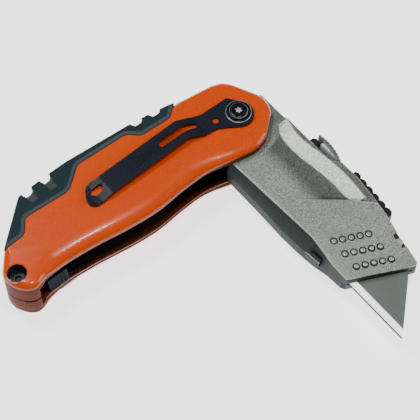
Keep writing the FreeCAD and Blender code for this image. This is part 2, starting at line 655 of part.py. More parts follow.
for body, low, high in ((housing, "dims.handle_thick / 2 - 0.5", "4.0"),
                        (cover, "dims.head_low - 0.5", "dims.handle_thick / 2 + 1")):
    pocket(body, circles(body, HEAD_SCREWS, "0.9", low), high)
shanks = [cylinder("head_screw_%d" % number, x, y, "dims.head_low + 1.9", "0.88",
                   "dims.handle_thick / 2 + 3.2") for number, (x, y) in enumerate(HEAD_SCREWS)]
head_screws = doc.addObject("Part::Compound", "head_screw_group")
head_screws.Links = shanks
node(head_screws, "head_screws", "head")

# ------------------------------------------------------------------ blade carriage
carrier = new_body("blade_carrier", "head")
CARRIER = [(22.0, 7.4), (37.5, 7.4), (39.5, -8.6), (61.5, -8.6), (76.4, 3.0), (76.4, 8.9),
           (62.0, 8.9), (59.0, 10.6), (22.0, 10.6)]
blade_low = "dims.handle_thick / 2 - dims.blade_thick / 2"
pad(carrier, sketch(carrier, [poly(CARRIER)], "dims.carrier_low"),
    blade_low + " - dims.carrier_low - 0.04")
notch_x = size("blade_tip_x") - size("blade_length") / 2
notch_top = size("blade_edge_y") + size("blade_width")
pad(carrier, sketch(carrier, [box_loop(notch_x + 4.15, notch_x + 6.85, notch_top - 2.0, 8.9),
                              box_loop(notch_x - 6.85, notch_x - 4.15, notch_top - 2.0, 8.9)],
                    blade_low + " - 0.1"), "2.2")
pad(carrier, sketch(carrier, [box_loop(22.4, 32.0, 9.0, 14.9)], "dims.carrier_low + 0.2"), "3.6")
PLUNGER = V(29.0, size("handle_thick") / 2, 0)
pocket(carrier, sketch(carrier, [[Part.Circle(PLUNGER, V(0, 0, 1), 1.25)]], "-14.25",
                       "XZ_Plane"), "3.5", True)

blade = new_body("blade", "head")
pad(blade, sketch(blade, [blade_loop(size("blade_tip_x"), size("blade_edge_y"),
                                     size("blade_length"), size("blade_width"),
                                     size("blade_slant"))], blade_low), "dims.blade_thick")
for sign in (1, -1):
    surface = MID + sign * size("blade_thick") / 2
    edge_y = size("blade_edge_y")
    bevel = sketch(blade, [poly([(edge_y - 0.1, MID + sign * 0.02), (edge_y + 2.0, surface),
                                 (edge_y + 2.0, surface + sign * 0.4),
                                 (edge_y - 0.1, surface + sign * 0.4)])], "0", "YZ_Plane")
    pocket(blade, bevel, "120")

base_block = new_body("slider_base", "head")
pad(base_block, sketch(base_block, [poly([(21.6, 15.0), (32.4, 15.0), (32.4, 15.9), (25.0, 15.9),
                                          (25.0, 19.0), (21.8, 19.0)])],
                       "dims.handle_thick / 2 - 3.2"), "6.4")
pocket(base_block, sketch(base_block, [[Part.Circle(PLUNGER, V(0, 0, 1), 1.25)]], "0",
                          "XZ_Plane"), "40", True)
pad(base_block, sketch(base_block, [box_loop(22.6, 27.0, 14.92, 15.3)],
                       "dims.handle_thick / 2 - 1.7"), "3.4")

button = new_body("slider_button", "head")
BUTTON_TOP = [(34.8, 17.8), (32.4, 19.4), (29.0, 20.4), (25.8, 20.7), (23.4, 20.4), (22.0, 19.9)]
pad(button, sketch(button, [poly([(25.4, 19.9), (25.4, 17.0), (34.2, 17.0)] + BUTTON_TOP)],
                   "dims.handle_thick / 2 - 4"), "8")
pad(button, sketch(button, [[Part.Circle(PLUNGER, V(0, 0, 1), 1.2)]], "-17.2", "XZ_Plane"),
    "2.6")


def height_on(chain, x):
    """Height of a chain of points, drawn from right to left, at a given x."""
    for (bx, by), (ax, ay) in zip(chain, chain[1:]):
        if ax <= x <= bx:
            return ay + (by - ay) * (x - ax) / (bx - ax)
    raise ValueError("off the chain")


for number in range(8):
    ridge_x = 23.6 + number * 1.25
    centre = V(ridge_x, height_on(BUTTON_TOP, ridge_x) + 0.1, 0)
    ridge = sketch(button, [[Part.Circle(centre, V(0, 0, 1), 0.34)]],
                   "dims.handle_thick / 2 - 4.01")
    pocket(button, ridge, "8.1")

# ------------------------------------------------------------------ blade release lever
lever = new_body("release_lever", "head")
LEVER_PIN = (43.6, 15.4)
pad(lever, sketch(lever, [poly([(41.9, 14.3), (45.0, 13.9), (63.0, 13.4), (63.3, 15.6),
                                (54.0, 17.0), (45.0, 18.0), (42.0, 17.6)])],
                  "dims.handle_thick / 2 - 3.1"), "6.2")
ridges = []
for number in range(6):
    ridge_x = 43.6 + number * 3.62
    ridge_y = 17.75 - 0.112 * (ridge_x - 43.6)
    ridges.append([Part.Circle(V(ridge_x, ridge_y, 0), V(0, 0, 1), 0.95)])
for ridge in ridges:
    pad(lever, sketch(lever, [ridge], "dims.handle_thick / 2 - 3.1"), "6.2")
pocket(lever, circles(lever, [LEVER_PIN], "0.75", "5"), "12")
lever_pin = doc.addObject("Part::Compound", "lever_pin_group")
lever_pin.Links = [cylinder("lever_pin_rod", LEVER_PIN[0], LEVER_PIN[1],
                            "dims.handle_thick / 2 - 4.4", "0.7", "dims.handle_thick / 2 + 4.4")]
node(lever_pin, "lever_pin", "head")
for body, low in ((housing, "dims.handle_thick / 2"), (cover, "dims.handle_thick / 2 - 4.5")):
    pocket(body, circles(body, [LEVER_PIN], "0.7", low), "4.5")

spring = new_body("lever_spring", "head")
pad(spring, sketch(spring, [poly([(48.0, 11.4), (55.0, 12.3), (62.0, 11.4), (62.0, 11.7),
                                  (55.0, 12.6), (48.0, 11.7)])],
                   "dims.handle_thick / 2 - 2"), "4")

# ------------------------------------------------------------------ check and write
doc.recompute()
for obj in doc.Objects:
    if "Invalid" in obj.State or "Error" in obj.State:
        raise RuntimeError("%s is %s" % (obj.Label, obj.State))
os.makedirs("parts", exist_ok=True)
whole = FreeCAD.BoundBox()
for obj in NODES:
    if obj.Shape.isNull() or not obj.Shape.isValid():
        raise RuntimeError("bad shape: " + obj.Label)
    whole.add(obj.Shape.BoundBox)
    obj.Shape.exportStep("parts/%s.step" % obj.Label)
    print("%-16s %9.1f mm3  %d solid(s)" % (obj.Label, obj.Shape.Volume, len(obj.Shape.Solids)))
print("box", whole)
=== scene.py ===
import bpy
import bmesh
import json
import math
import numpy as np
from mathutils import Matrix, Vector


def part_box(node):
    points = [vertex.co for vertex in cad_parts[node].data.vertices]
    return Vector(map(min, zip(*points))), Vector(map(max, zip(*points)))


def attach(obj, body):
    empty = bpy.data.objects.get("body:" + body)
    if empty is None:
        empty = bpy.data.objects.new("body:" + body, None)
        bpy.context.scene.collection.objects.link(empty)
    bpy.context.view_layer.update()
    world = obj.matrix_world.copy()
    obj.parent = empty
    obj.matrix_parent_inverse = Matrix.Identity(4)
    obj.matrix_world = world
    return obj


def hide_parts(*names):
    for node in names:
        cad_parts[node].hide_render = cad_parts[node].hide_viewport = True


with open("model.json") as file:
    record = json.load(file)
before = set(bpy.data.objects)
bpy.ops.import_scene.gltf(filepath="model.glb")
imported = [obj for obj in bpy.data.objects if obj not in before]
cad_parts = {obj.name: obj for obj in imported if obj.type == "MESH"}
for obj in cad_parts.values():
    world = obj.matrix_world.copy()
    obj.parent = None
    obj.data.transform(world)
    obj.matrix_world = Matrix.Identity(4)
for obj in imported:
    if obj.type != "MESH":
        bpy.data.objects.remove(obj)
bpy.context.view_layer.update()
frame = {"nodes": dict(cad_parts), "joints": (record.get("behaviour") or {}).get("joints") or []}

MM = 0.001

# ------------------------------------------------------------------ places, in millimetres
# Outlines are drawn with the fold pivot at (0, 0).  The handle runs along -X with its spine on
# the +Y side.  The head runs along +X, until HEAD turns it from straight to its place at rest.
FOLD = next(joint for joint in frame["joints"] if joint["name"] == "head_fold")
PIVOT_X, PIVOT_Y, MIDDLE = (round(value / MM, 3) for value in FOLD["pos_m"])
HEAD_TURN = -math.radians(FOLD["range_deg"][1])


def height_of(node, corner):
    """Height of a node's lowest (0) or highest (1) corner."""
    return round(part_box(node)[corner][2] / MM, 1)


SHELL_LOW, SHELL_HIGH = height_of("top_liner", 0), height_of("top_shell", 1)
HEAD_HIGH = height_of("head_housing", 1)
HANDLE = Matrix.Translation((PIVOT_X * MM, PIVOT_Y * MM, 0))
HEAD = HANDLE @ Matrix.Rotation(HEAD_TURN, 4, "Z")


# ------------------------------------------------------------------ materials
COAT_ROUGH = 0.07
BROAD_SCALE, BROAD_BUMP, BROAD_DEPTH = 60.0, 0.08, 0.0004
FINE_DEPTH = 0.00012


class Shader:
    """Small helper that adds nodes to a new material."""

    def __init__(self, name):
        self.material = bpy.data.materials.new(name)
        self.material.use_nodes = True
        self.nodes = self.material.node_tree.nodes
        self.links = self.material.node_tree.links
        self.surface = self.nodes["Principled BSDF"]
        self.place = self.add("ShaderNodeTexCoord").outputs["Object"]

    def add(self, kind, inputs=None, **settings):
        made = self.nodes.new(kind)
        for key, value in settings.items():
            setattr(made, key, value)
        for key, value in (inputs or {}).items():
            self.put(made.inputs[key], value)
        return made

    def put(self, socket, value):
        if isinstance(value, bpy.types.NodeSocket):
            self.links.new(value, socket)
        else:
            socket.default_value = value

    def noise(self, scale, detail=4.0, rough=0.55, stretch=None):
        place = self.place
        if stretch:
            place = self.add("ShaderNodeMapping", {"Vector": place, "Scale": stretch}).outputs[0]
        return self.add("ShaderNodeTexNoise", {"Vector": place, "Scale": scale, "Detail": detail,
                                               "Roughness": rough}).outputs["Fac"]

    def ramp(self, value, low, high, out_low=0.0, out_high=1.0):
        return self.add("ShaderNodeMapRange", {0: value, 1: low, 2: high, 3: out_low,
                                               4: out_high}).outputs[0]

    def mix(self, factor, first, second):
        made = self.add("ShaderNodeMix", data_type="RGBA")
        self.put(made.inputs[0], factor)
        self.put(made.inputs[6], first)
        self.put(made.inputs[7], second)
        return made.outputs[2]

    def bump(self, height, strength, distance, under=None):
        inputs = {"Height": height, "Strength": strength, "Distance": distance}
        if under:
            inputs["Normal"] = under
        return self.add("ShaderNodeBump", inputs).outputs[0]


def finish_material(name, base, dark, light, rough, metal=0.0, grain=900.0, bump=0.25,
                    wear=0.25, stretch=None, coat=0.0, spread=0.08, toned=False,
                    gloss=0.5, glow=0.0, side=None):
    """Finish with mottled tone, fine grain, uneven gloss and edges worn to a lighter tone.

    A toned finish takes its colour from the mesh's own "tone" layer instead of base, and dark is
    then what its darker spots are multiplied by.  side, when given, is a painted shade: upright
    faces are darkened towards it by their normal."""
    made = Shader(name)
    first, second = (*dark, 1), (*base, 1)
    if toned:
        second = made.add("ShaderNodeAttribute", attribute_name="tone").outputs["Color"]
        shade = made.add("ShaderNodeMix", {0: 1.0, 7: (*dark, 1)}, data_type="RGBA",
                         blend_type="MULTIPLY")
        made.put(shade.inputs[6], second)
        first = shade.outputs[2]
    broad = made.noise(BROAD_SCALE, 5.0)
    fine = made.noise(grain, 6.0, 0.6, stretch)
    tone = made.mix(made.ramp(broad, 0.3, 0.7), first, second)
    speck = made.mix(made.ramp(fine, 0.43, 0.57), first, made.mix(0.5, tone, second))
    point = made.add("ShaderNodeNewGeometry").outputs["Pointiness"]
    edge = made.ramp(point, 0.52, 0.6, 0.0, wear)
    colour = made.mix(edge, speck, (*light, 1))
    # Painted shade: faces that stand upright, by their normal, are darkened towards side.
    if side:
        facing = made.add("ShaderNodeSeparateXYZ", {0: made.add("ShaderNodeNewGeometry")
                                                    .outputs["Normal"]}).outputs[2]
        level = made.add("ShaderNodeMath", {0: facing}, operation="ABSOLUTE").outputs[0]
        colour = made.mix(made.ramp(level, 0.2, 0.97), (*side, 1), colour)
    made.put(made.surface.inputs["Base Color"], colour)
    made.put(made.surface.inputs["Metallic"], metal)
    made.put(made.surface.inputs["Specular IOR Level"], gloss)
    made.put(made.surface.inputs["Roughness"],
             made.ramp(fine, 0.3, 0.7, max(rough - spread, 0.04), rough + spread))
    made.put(made.surface.inputs["Emission Color"], (*base, 1))
    made.put(made.surface.inputs["Emission Strength"], glow)
    made.put(made.surface.inputs["Coat Weight"], coat)
    made.put(made.surface.inputs["Coat Roughness"], COAT_ROUGH)
    low = made.bump(broad, BROAD_BUMP, BROAD_DEPTH)
    made.put(made.surface.inputs["Normal"], made.bump(fine, bump, FINE_DEPTH, low))
    return made.material


# The orange coat carries a painted shade: its upright faces darken towards side.
ORANGE = finish_material("orange_coat", base=(0.70, 0.066, 0.0), dark=(0.675, 0.062, 0.0),
                         light=(0.85, 0.22, 0.04), side=(0.26, 0.032, 0.004), rough=0.26,
                         spread=0.05, gloss=0.2, coat=0.5, grain=1500.0, bump=0.03, wear=0.15)
# Shaded copy of the orange coat: a painted shade for the shells' upright sides and tail walls.
ORANGE_SHADE = finish_material("orange_painted_shade", base=(0.105, 0.021, 0.006),
                              dark=(0.080, 0.016, 0.005), light=(0.36, 0.10, 0.05),
                              rough=0.42, gloss=0.03, grain=1500.0, bump=0.10, wear=0.08)
RUBBER = finish_material("rubber", base=(0.02, 0.03, 0.03), dark=(0.72, 0.72, 0.72),
                         light=(0.09, 0.13, 0.14), toned=True, rough=0.62, gloss=0.15,
                         grain=1900.0, bump=0.55, wear=0.2)
NAVY = finish_material("black_oxide", base=(0.002, 0.006, 0.013), dark=(0.0015, 0.004, 0.009),
                       light=(0.20, 0.24, 0.32), rough=0.26, spread=0.03, gloss=0.22,
                       grain=1400.0, bump=0.02, wear=0.05)
# Paler copy of the black oxide for the clip's broken edges: a painted highlight.
CLIP_EDGE_HIGHLIGHT = finish_material("clip_edge_painted_highlight", base=(0.085, 0.115, 0.14), dark=(0.05, 0.07, 0.09),
                            light=(0.30, 0.34, 0.38), rough=0.3, grain=1400.0, bump=0.05,
                            wear=0.1)
BLACK = finish_material("black_plastic", base=(0.010, 0.011, 0.015), dark=(0.007, 0.007, 0.010),
                        light=(0.05, 0.055, 0.06), rough=0.50, gloss=0.25, grain=1200.0,
                        bump=0.2, wear=0.1)
RIBBED = finish_material("latch_plastic", base=(0.005, 0.014, 0.020), dark=(0.003, 0.009, 0.014),
                         light=(0.09, 0.11, 0.12), rough=0.5, gloss=0.08, grain=1200.0,
                         bump=0.2, wear=0.1)
STEEL = finish_material("steel", base=(0.42, 0.43, 0.42), dark=(0.34, 0.35, 0.34),
                        light=(0.7, 0.7, 0.68), rough=0.33, metal=1.0, grain=800.0,
                        stretch=(1, 14, 1), bump=0.15, wear=0.4)
# Pale copy of the orange for the bottom shell's inner lip: a painted highlight.
LIP_HIGHLIGHT = finish_material("shell_lip_painted_highlight", base=(0.30, 0.12, 0.10), dark=(0.24, 0.09, 0.08),
                           light=(0.85, 0.5, 0.4), rough=0.35, grain=1500.0, bump=0.1, wear=0.2)
# Near-black strip along the blade's very edge: a painted shade line.
BLADE_EDGE_SHADE = finish_material("blade_edge_painted_shade", base=(0.035, 0.05, 0.05), dark=(0.02, 0.03, 0.03),
                        light=(0.3, 0.3, 0.3), rough=0.4, metal=0.2, gloss=0.2, bump=0.1,
                        wear=0.1)
LINER = finish_material("liner_steel", base=(0.008, 0.006, 0.010), dark=(0.005, 0.004, 0.007),
                        light=(0.05, 0.05, 0.05), rough=0.5, metal=0.2, grain=700.0,
                        stretch=(14, 1, 1), bump=0.2, wear=0.3)
CAST = finish_material("cast_metal", base=(0.4, 0.4, 0.4), dark=(0.35, 0.36, 0.36),
                       light=(0.75, 0.77, 0.73), toned=True, rough=0.42, spread=0.12, metal=0.25,
                       coat=0.1, grain=2300.0, bump=0.8, wear=0.45)
# Shaded copies of the cast metal: painted shade for the head's flanks, darker still on the far
# half.
CAST_FLANK_SHADE = finish_material("cast_flank_painted_shade", base=(0.030, 0.042, 0.043), dark=(0.018, 0.026, 0.027),
                             light=(0.30, 0.33, 0.32), rough=0.45, gloss=0.12, grain=2000.0,
                             bump=0.35, wear=0.06)
FAR_FLANK_SHADE = finish_material("cast_flank_far_painted_shade", base=(0.014, 0.020, 0.021),
                            dark=(0.009, 0.013, 0.014), light=(0.20, 0.22, 0.21), rough=0.5,
                            gloss=0.1, grain=2000.0, bump=0.35, wear=0.05)
CAST_DOT = finish_material("cast_dot", base=(0.46, 0.49, 0.45), dark=(0.32, 0.34, 0.31),
                           light=(0.8, 0.82, 0.78), rough=0.3, metal=0.4, grain=1800.0, bump=0.2,
                           wear=0.3)
DEEP = finish_material("deep_shadow_metal", base=(0.006, 0.008, 0.012),
                       dark=(0.004, 0.005, 0.008), light=(0.02, 0.025, 0.03), rough=0.6,
                       grain=1800.0, bump=0.2, wear=0.2)
BLADE_FACE = finish_material("blade_face", base=(0.092, 0.118, 0.098),
                             dark=(0.076, 0.098, 0.082), light=(0.35, 0.37, 0.35), rough=0.42,
                             metal=0.2, grain=500.0, stretch=(1, 30, 1), bump=0.1, wear=0.2)
# The bevel's slight glow stands in for the glare of freshly ground steel.
BLADE_EDGE = finish_material("blade_bevel", base=(0.82, 0.85, 0.83), dark=(0.72, 0.75, 0.73),
                             light=(0.95, 0.95, 0.95), rough=0.3, metal=0.1, grain=700.0,
                             stretch=(30, 1, 1), bump=0.08, wear=0.1, glow=1.4)
# Nickel of the knurl, also used as a painted highlight on the washer's and screw's thin rings.
NICKEL_AND_RING_HIGHLIGHT = finish_material("nickel_knurl_and_ring_highlight", base=(0.20, 0.235, 0.225), dark=(0.10, 0.12, 0.115),
                         light=(0.60, 0.63, 0.61), rough=0.34, metal=0.3, bump=0.08, wear=0.4)
# Pale copy of the nickel: a painted highlight on the slider's facet and in the screw's star
# recess.
NICKEL_HIGHLIGHT = finish_material("nickel_painted_highlight", base=(0.75, 0.80, 0.79), dark=(0.62, 0.67, 0.66),
                              light=(0.95, 0.95, 0.95), rough=0.25, metal=0.2, bump=0.1, wear=0.2)


# ------------------------------------------------------------------ outlines
def resample(points, step, closed=False):
    """Points at an even spacing along a chain."""
    chain = np.array(list(points) + ([points[0]] if closed else []), float)
    length = np.concatenate([[0], np.cumsum(np.hypot(*np.diff(chain, axis=0).T))])
    count = max(int(length[-1] / step), 2)
    at = np.linspace(0, length[-1], count + 1)[: count if closed else count + 1]
    return np.column_stack([np.interp(at, length, chain[:, k]) for k in (0, 1)])


def smooth_through(points, step=0.5):
    """Catmull-Rom curve through the points."""
    chain = np.array([points[0]] + list(points) + [points[-1]], float)
    drawn = []
    for i in range(1, len(chain) - 2):
        a, b, c, d = chain[i - 1:i + 3]
        for t in np.linspace(0, 1, max(int(math.dist(b, c) / step), 1), endpoint=False):
            drawn.append(0.5 * ((2 * b) + (c - a) * t + (2 * a - 5 * b + 4 * c - d) * t * t
                                + (3 * b - a - 3 * c + d) * t ** 3))
    return drawn + [chain[-1]]


def soften(ring, width, step):
    """Rounds a closed ring's corners by a running mean about `width` long."""
    reach = max(int(width / step / 2), 1)
    return sum(np.roll(ring, k, axis=0) for k in range(-reach, reach + 1)) / (2 * reach + 1)


def inward(ring):
    """Unit normals that point into a closed ring."""
    run = np.roll(ring, -1, axis=0) - np.roll(ring, 1, axis=0)
    run /= np.hypot(*run.T)[:, None]
    area = np.sum(ring[:, 0] * np.roll(ring[:, 1], -1) - np.roll(ring[:, 0], -1) * ring[:, 1])
    side = 1 if area > 0 else -1
    return np.column_stack([-run[:, 1], run[:, 0]]) * side


def new_object(name, verts, faces, materials, frame_of, indices=None, sharp=40, tones=None,
               wall_tone=None):
    """Mesh object with its vertices in millimetres in the handle's or the head's frame.

    tones gives a colour to each vertex; faces of the second material take wall_tone."""
    mesh = bpy.data.meshes.new(name)
    mesh.from_pydata([tuple(frame_of @ (Vector(v) * MM)) for v in verts], [], faces)
    for material in materials:
        mesh.materials.append(material)
    if indices is not None:
        mesh.polygons.foreach_set("material_index", indices)
    work = bmesh.new()
    work.from_mesh(mesh)
    bmesh.ops.recalc_face_normals(work, faces=work.faces)
    work.to_mesh(mesh)
    work.free()
    mesh.polygons.foreach_set("use_smooth", [True] * len(mesh.polygons))
    mesh.set_sharp_from_angle(angle=math.radians(sharp))
    if tones is not None:
        layer = mesh.color_attributes.new("tone", "FLOAT_COLOR", "CORNER")
        corner_vertex = np.empty(len(mesh.loops), int)
        mesh.loops.foreach_get("vertex_index", corner_vertex)
        totals = np.empty(len(mesh.polygons), int)
        mesh.polygons.foreach_get("loop_total", totals)
        slots = np.empty(len(mesh.polygons), int)
        mesh.polygons.foreach_get("material_index", slots)
        colours = np.ones((len(corner_vertex), 4))
        colours[:, :3] = np.asarray(tones)[corner_vertex]
        colours[np.repeat(slots, totals) == 1, :3] = wall_tone
        layer.data.foreach_set("color", colours.ravel())
    made = bpy.data.objects.new(name, mesh)
    bpy.context.collection.objects.link(made)
    return made


def loft(name, ring, levels, materials, frame_of=HANDLE, level_material=None, sharp=40,
         tone=None, caps=(0, 0)):
    """Closed solid through copies of a ring, each level a height and an inset (or insets).

    level_material gives the material of each band between two levels, caps those of the ends."""
    count = len(ring)
    normal = inward(ring)
    verts, faces, indices = [], [], []
    for z, inset in levels:
        inset = np.broadcast_to(np.asarray(inset, float), (count,))
        height = np.broadcast_to(np.asarray(z, float), (count,))
        moved = ring + normal * inset[:, None]
        verts += [(x, y, h) for (x, y), h in zip(moved, height)]
    for row in range(len(levels) - 1):
        for i in range(count):
            j = (i + 1) % count
            faces.append((row * count + i, row * count + j, (row + 1) * count + j,
                          (row + 1) * count + i))
            indices.append(level_material[row] if level_material else 0)
    faces.append(tuple(range(count)))
    faces.append(tuple((len(levels) - 1) * count + i for i in range(count)))
    indices += list(caps)
    tones = None if tone is None else np.tile(tone, (len(verts), 1))
    return new_object(name, verts, faces, materials, frame_of, indices, sharp, tones, tone)


def along(points, x):
    """Height of a chain of points at x."""
    chain = np.array(points)
    return np.interp(x, chain[:, 0], chain[:, 1])


def carve(obj, cutters, sharp=35):
    """Cuts other solids out of an object for good; the cut faces take the cutter's finish."""
    for solid in cutters:
        modifier = obj.modifiers.new("cut", "BOOLEAN")
        modifier.object = solid
        modifier.solver = "EXACT"
        modifier.material_mode = "TRANSFER"
    bpy.context.view_layer.update()
    seen = obj.evaluated_get(bpy.context.evaluated_depsgraph_get())
    mesh = bpy.data.meshes.new_from_object(seen)
    obj.modifiers.clear()
    obj.data = mesh
    for solid in cutters:
        bpy.data.objects.remove(solid)
    mesh.polygons.foreach_set("use_smooth", [True] * len(mesh.polygons))
    mesh.set_sharp_from_angle(angle=math.radians(sharp))


def disc(x, y, radius, count=48):
    """Closed ring of points on a circle."""
    turn = np.linspace(0, 2 * math.pi, count, endpoint=False)
    return np.column_stack([x + radius * np.cos(turn), y + radius * np.sin(turn)])


def block(x_low, x_high, y_low, y_high):
    """Closed ring of a rectangle's corners."""
    return np.array([(x_low, y_low), (x_high, y_low), (x_high, y_high), (x_low, y_high)], float)


def sided(levels, top):
    """The same levels, mirrored about the middle plane for the underside unless top."""
    if top:
        return levels
    return [(2 * MIDDLE - np.asarray(z), inset) for z, inset in levels]


def chamfered(low, high, rise, inset):
    """Levels of a solid with both of its faces' edges broken."""
    return [(low, inset), (low + rise, 0), (high - rise, 0), (high, inset)]


def cutter(ring, low, high, material, frame_of=HANDLE, top=True, inset=0.0):
    """Solid to be cut away between two heights, mirrored for the underside unless top."""
    return loft("cutter", ring, sided([(low, inset), (high, inset)], top), [material], frame_of)


def put(obj, body, slot, *nodes):
    """Makes a piece ride on a body in place of the CAD's nodes; slot is not used."""
    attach(obj, body)
    if nodes:
        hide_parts(*nodes)


# ------------------------------------------------------------------ handle
FRONT = [(-14.3, 18.9), (0.9, 16.4), (4.8, 14.8), (7.1, 12.0), (10.6, 4.3), (11.8, 1.5),
         (12.0, -0.6), (11.5, -3.6), (10.2, -6.4), (1.9, -13.1)]
SLOT_SIDE = [(1.9, -13.1), (-3.8, -14.5), (-11.3, -13.2), (-23.3, -10.1), (-34.3, -9.8),
             (-46.3, -10.4), (-58.3, -9.2), (-71.3, -7.0), (-83.3, -5.7), (-92.3, -5.9)]
TAIL = [(-92.3, -5.9), (-97.3, -7.3), (-100.9, -5.3), (-103.4, -0.6), (-103.3, 3.6),
        (-101.0, 6.8), (-97.2, 11.0)]
UNDER_INLAY = [(-97.2, 11.0), (-89.3, 16.6), (-81.0, 22.9), (-74.0, 22.5), (-60.0, 23.6),
               (-33.6, 21.0), (-26.0, 18.6), (-15.4, 18.0)]
SPINE = [(-97.2, 11.0), (-89.3, 17.4), (-81.0, 24.2), (-79.5, 24.5), (-79.2, 23.0), (-75.4, 23.2),
         (-74.9, 24.7), (-71.4, 24.8), (-71.0, 23.3), (-67.6, 23.4), (-66.9, 24.9), (-59.3, 24.8),
         (-32.4, 22.2), (-31.7, 20.7), (-28.3, 20.5), (-27.6, 21.4), (-24.9, 21.1), (-24.3, 19.8),
         (-20.9, 19.4), (-20.1, 20.2), (-14.3, 18.9)]
INLAY_EDGE = [(-97.2, 11.0), (-97.0, 10.7), (-89.2, 10.8), (-87.6, 11.7), (-84.6, 15.4),
              (-83.2, 15.9), (-67.0, 14.6), (-64.8, 15.3), (-57.9, 20.4), (-56.3, 20.9),
              (-37.4, 19.7), (-35.7, 19.0), (-32.8, 16.0), (-31.3, 15.5), (-20.4, 14.7),
              (-19.0, 15.2), (-15.2, 18.4), (-14.3, 18.9)]
STEP = 0.5
outline = (resample(FRONT, STEP).tolist() + smooth_through(SLOT_SIDE, STEP)
           + smooth_through(TAIL, STEP) + resample(UNDER_INLAY, STEP).tolist())
OUTLINE = soften(resample(outline, STEP, True), 2.0, STEP)
# 1 on the free rim, falling to 0 under the rubber along the spine.
spine_side = np.clip((OUTLINE[:, 1] - 10.5) / 1.5, 0, 1) * (OUTLINE[:, 0] < -15.5)
RIM = np.clip(1 - soften(spine_side[:, None], 4.0, STEP)[:, 0], 0, 1)
# The rounding of the rim is widest and deepest along the middle of the slot's side.
from_tail = np.clip((OUTLINE[:, 0] + 95.0) / 9.0, 0, 1)
from_pivot = np.clip((-12.0 - OUTLINE[:, 0]) / 16.0, 0, 1)
belly = from_tail * from_pivot * (OUTLINE[:, 1] < 0)
ROUND = 3.0 + 1.4 * np.clip((OUTLINE[:, 0] + 96.0) / 8.0, 0, 1) + 3.2 * belly
DROP = 2.1 + 1.6 * belly
LIP = np.where(OUTLINE[:, 0] < -93.5, 0.0, 0.55)

TAIL_HOLE, TAIL_BORE = (-99.2, 0.8), 3.4
BLADE_SWEEP = 96.3      # radius to which the tail's walls are hollowed
BLADE_RELIEF = 101.4    # radius of the slit that the blade's tip swings through
SEAM = 0.06             # half of the gap between the two sides of the handle
SKIRT_TOP = 2.4         # depth below the shell's face at which the rubber's skirt ends

LINER_EDGE = ([(9.0 * math.cos(a), 9.0 * math.sin(a))
               for a in np.radians(np.linspace(124, -124, 30))]
              + smooth_through([(-6.0, -9.0), (-16.0, -8.3), (-32.0, -7.0), (-46.0, -7.6),
                                (-60.0, -6.2), (-80.0, -3.0), (-93.5, -3.0)], 1.0)
              + [(-94.6, -1.5), (-94.6, 7.0), (-89.0, 12.0), (-80.0, 19.0), (-60.0, 20.0),
                 (-33.6, 17.4), (-18.0, 15.0), (-6.0, 9.0)])

# Room in the bottom shell for the bolt's head, the hatch, its blade store, the lock and the
# hatch's hinge: outline, lowest and highest z, and the finish of the cut.
UNDERSIDE_ROOM = [(disc(0, 0, 4.7), -1.0, 1.7, ORANGE),
                  (block(-87.0, -20.5, -4.8, 16.6), -1.0, 1.4, ORANGE),
                  (block(-86.4, -24.2, -4.4, 15.4), 1.3, 5.0, ORANGE),
                  (block(-31.0, -11.2, -4.4, 4.0), 2.4, 5.0, DEEP),
                  (block(-83.0, -24.5, 16.2, 18.4), -1.0, 2.2, ORANGE)]


def shell(name, node, top):
    """Orange half of the handle: a lip at the slot, an upright side and a rounded rim."""
    turns = np.radians(np.linspace(0, 90, 9))
    levels = [(SHELL_LOW, LIP), (SHELL_LOW + 0.16, LIP * 0.3), (SHELL_LOW + 0.55, 0.0)]
    levels += [(SHELL_HIGH - DROP + DROP * math.sin(a), (ROUND * RIM + 0.15) * (1 - math.cos(a)))
               for a in turns]
    # The bottom shell's lip takes the painted highlight; the top shell's lip, the upright rows
    # and the inner cap take the painted shade.
    lip_painted_light, upright = (1, 3) if top else (2, 5)
    rounded = len(levels) - 1 - upright
    made = loft(name, OUTLINE, sided(levels, top), [ORANGE, ORANGE_SHADE, LIP_HIGHLIGHT], caps=(1, 0),
                level_material=[lip_painted_light] + [1] * (upright - 1) + [0] * rounded)
    inlay = resample(SPINE + INLAY_EDGE[::-1], STEP, True)
    cutters = [cutter(disc(*TAIL_HOLE, TAIL_BORE), 14.9, 22.0, DEEP, top=top),
               cutter(inlay, SHELL_HIGH - 2.2, SHELL_HIGH + 2.0, DEEP, top=top, inset=-0.1),
               cutter(resample(LINER_EDGE, 1.0, True), SHELL_LOW - 1.0, SHELL_LOW + 1.05, ORANGE,
                      top=top)]
    if not top:
        cutters += [cutter(*room) for room in UNDERSIDE_ROOM]
    carve(made, cutters)
    put(made, "handle", "orange", node)


def tail_wall(name, top):
    """Wall that closes the tail between the face and the seam, hollowed by the blade's arc."""
    far = OUTLINE[(np.hypot(*OUTLINE.T) > BLADE_SWEEP) & (OUTLINE[:, 0] < -80)]
    far = far[np.argsort(np.arctan2(far[:, 1], -far[:, 0]))]
    start, end = (math.degrees(math.atan2(p[1], p[0])) % 360 for p in (far[-1], far[0]))
    arc = [(BLADE_SWEEP * math.cos(a), BLADE_SWEEP * math.sin(a))
           for a in np.radians(np.linspace(start, end, 24))]
    levels = [(MIDDLE + SEAM, 0.3), (MIDDLE + 0.3, 0.0), (SHELL_LOW, 0.0)]
    # The tail's walls take the orange's painted shade.
    made = loft(name, np.array(far.tolist() + arc), sided(levels, top), [ORANGE_SHADE])
    carve(made, [cutter(disc(*TAIL_HOLE, TAIL_BORE), 10.0, 17.0, DEEP, top=top),
                 cutter(disc(0, 0, BLADE_RELIEF, 160), MIDDLE - 0.45, MIDDLE + 0.45, DEEP)])
    put(made, "handle", "orange")


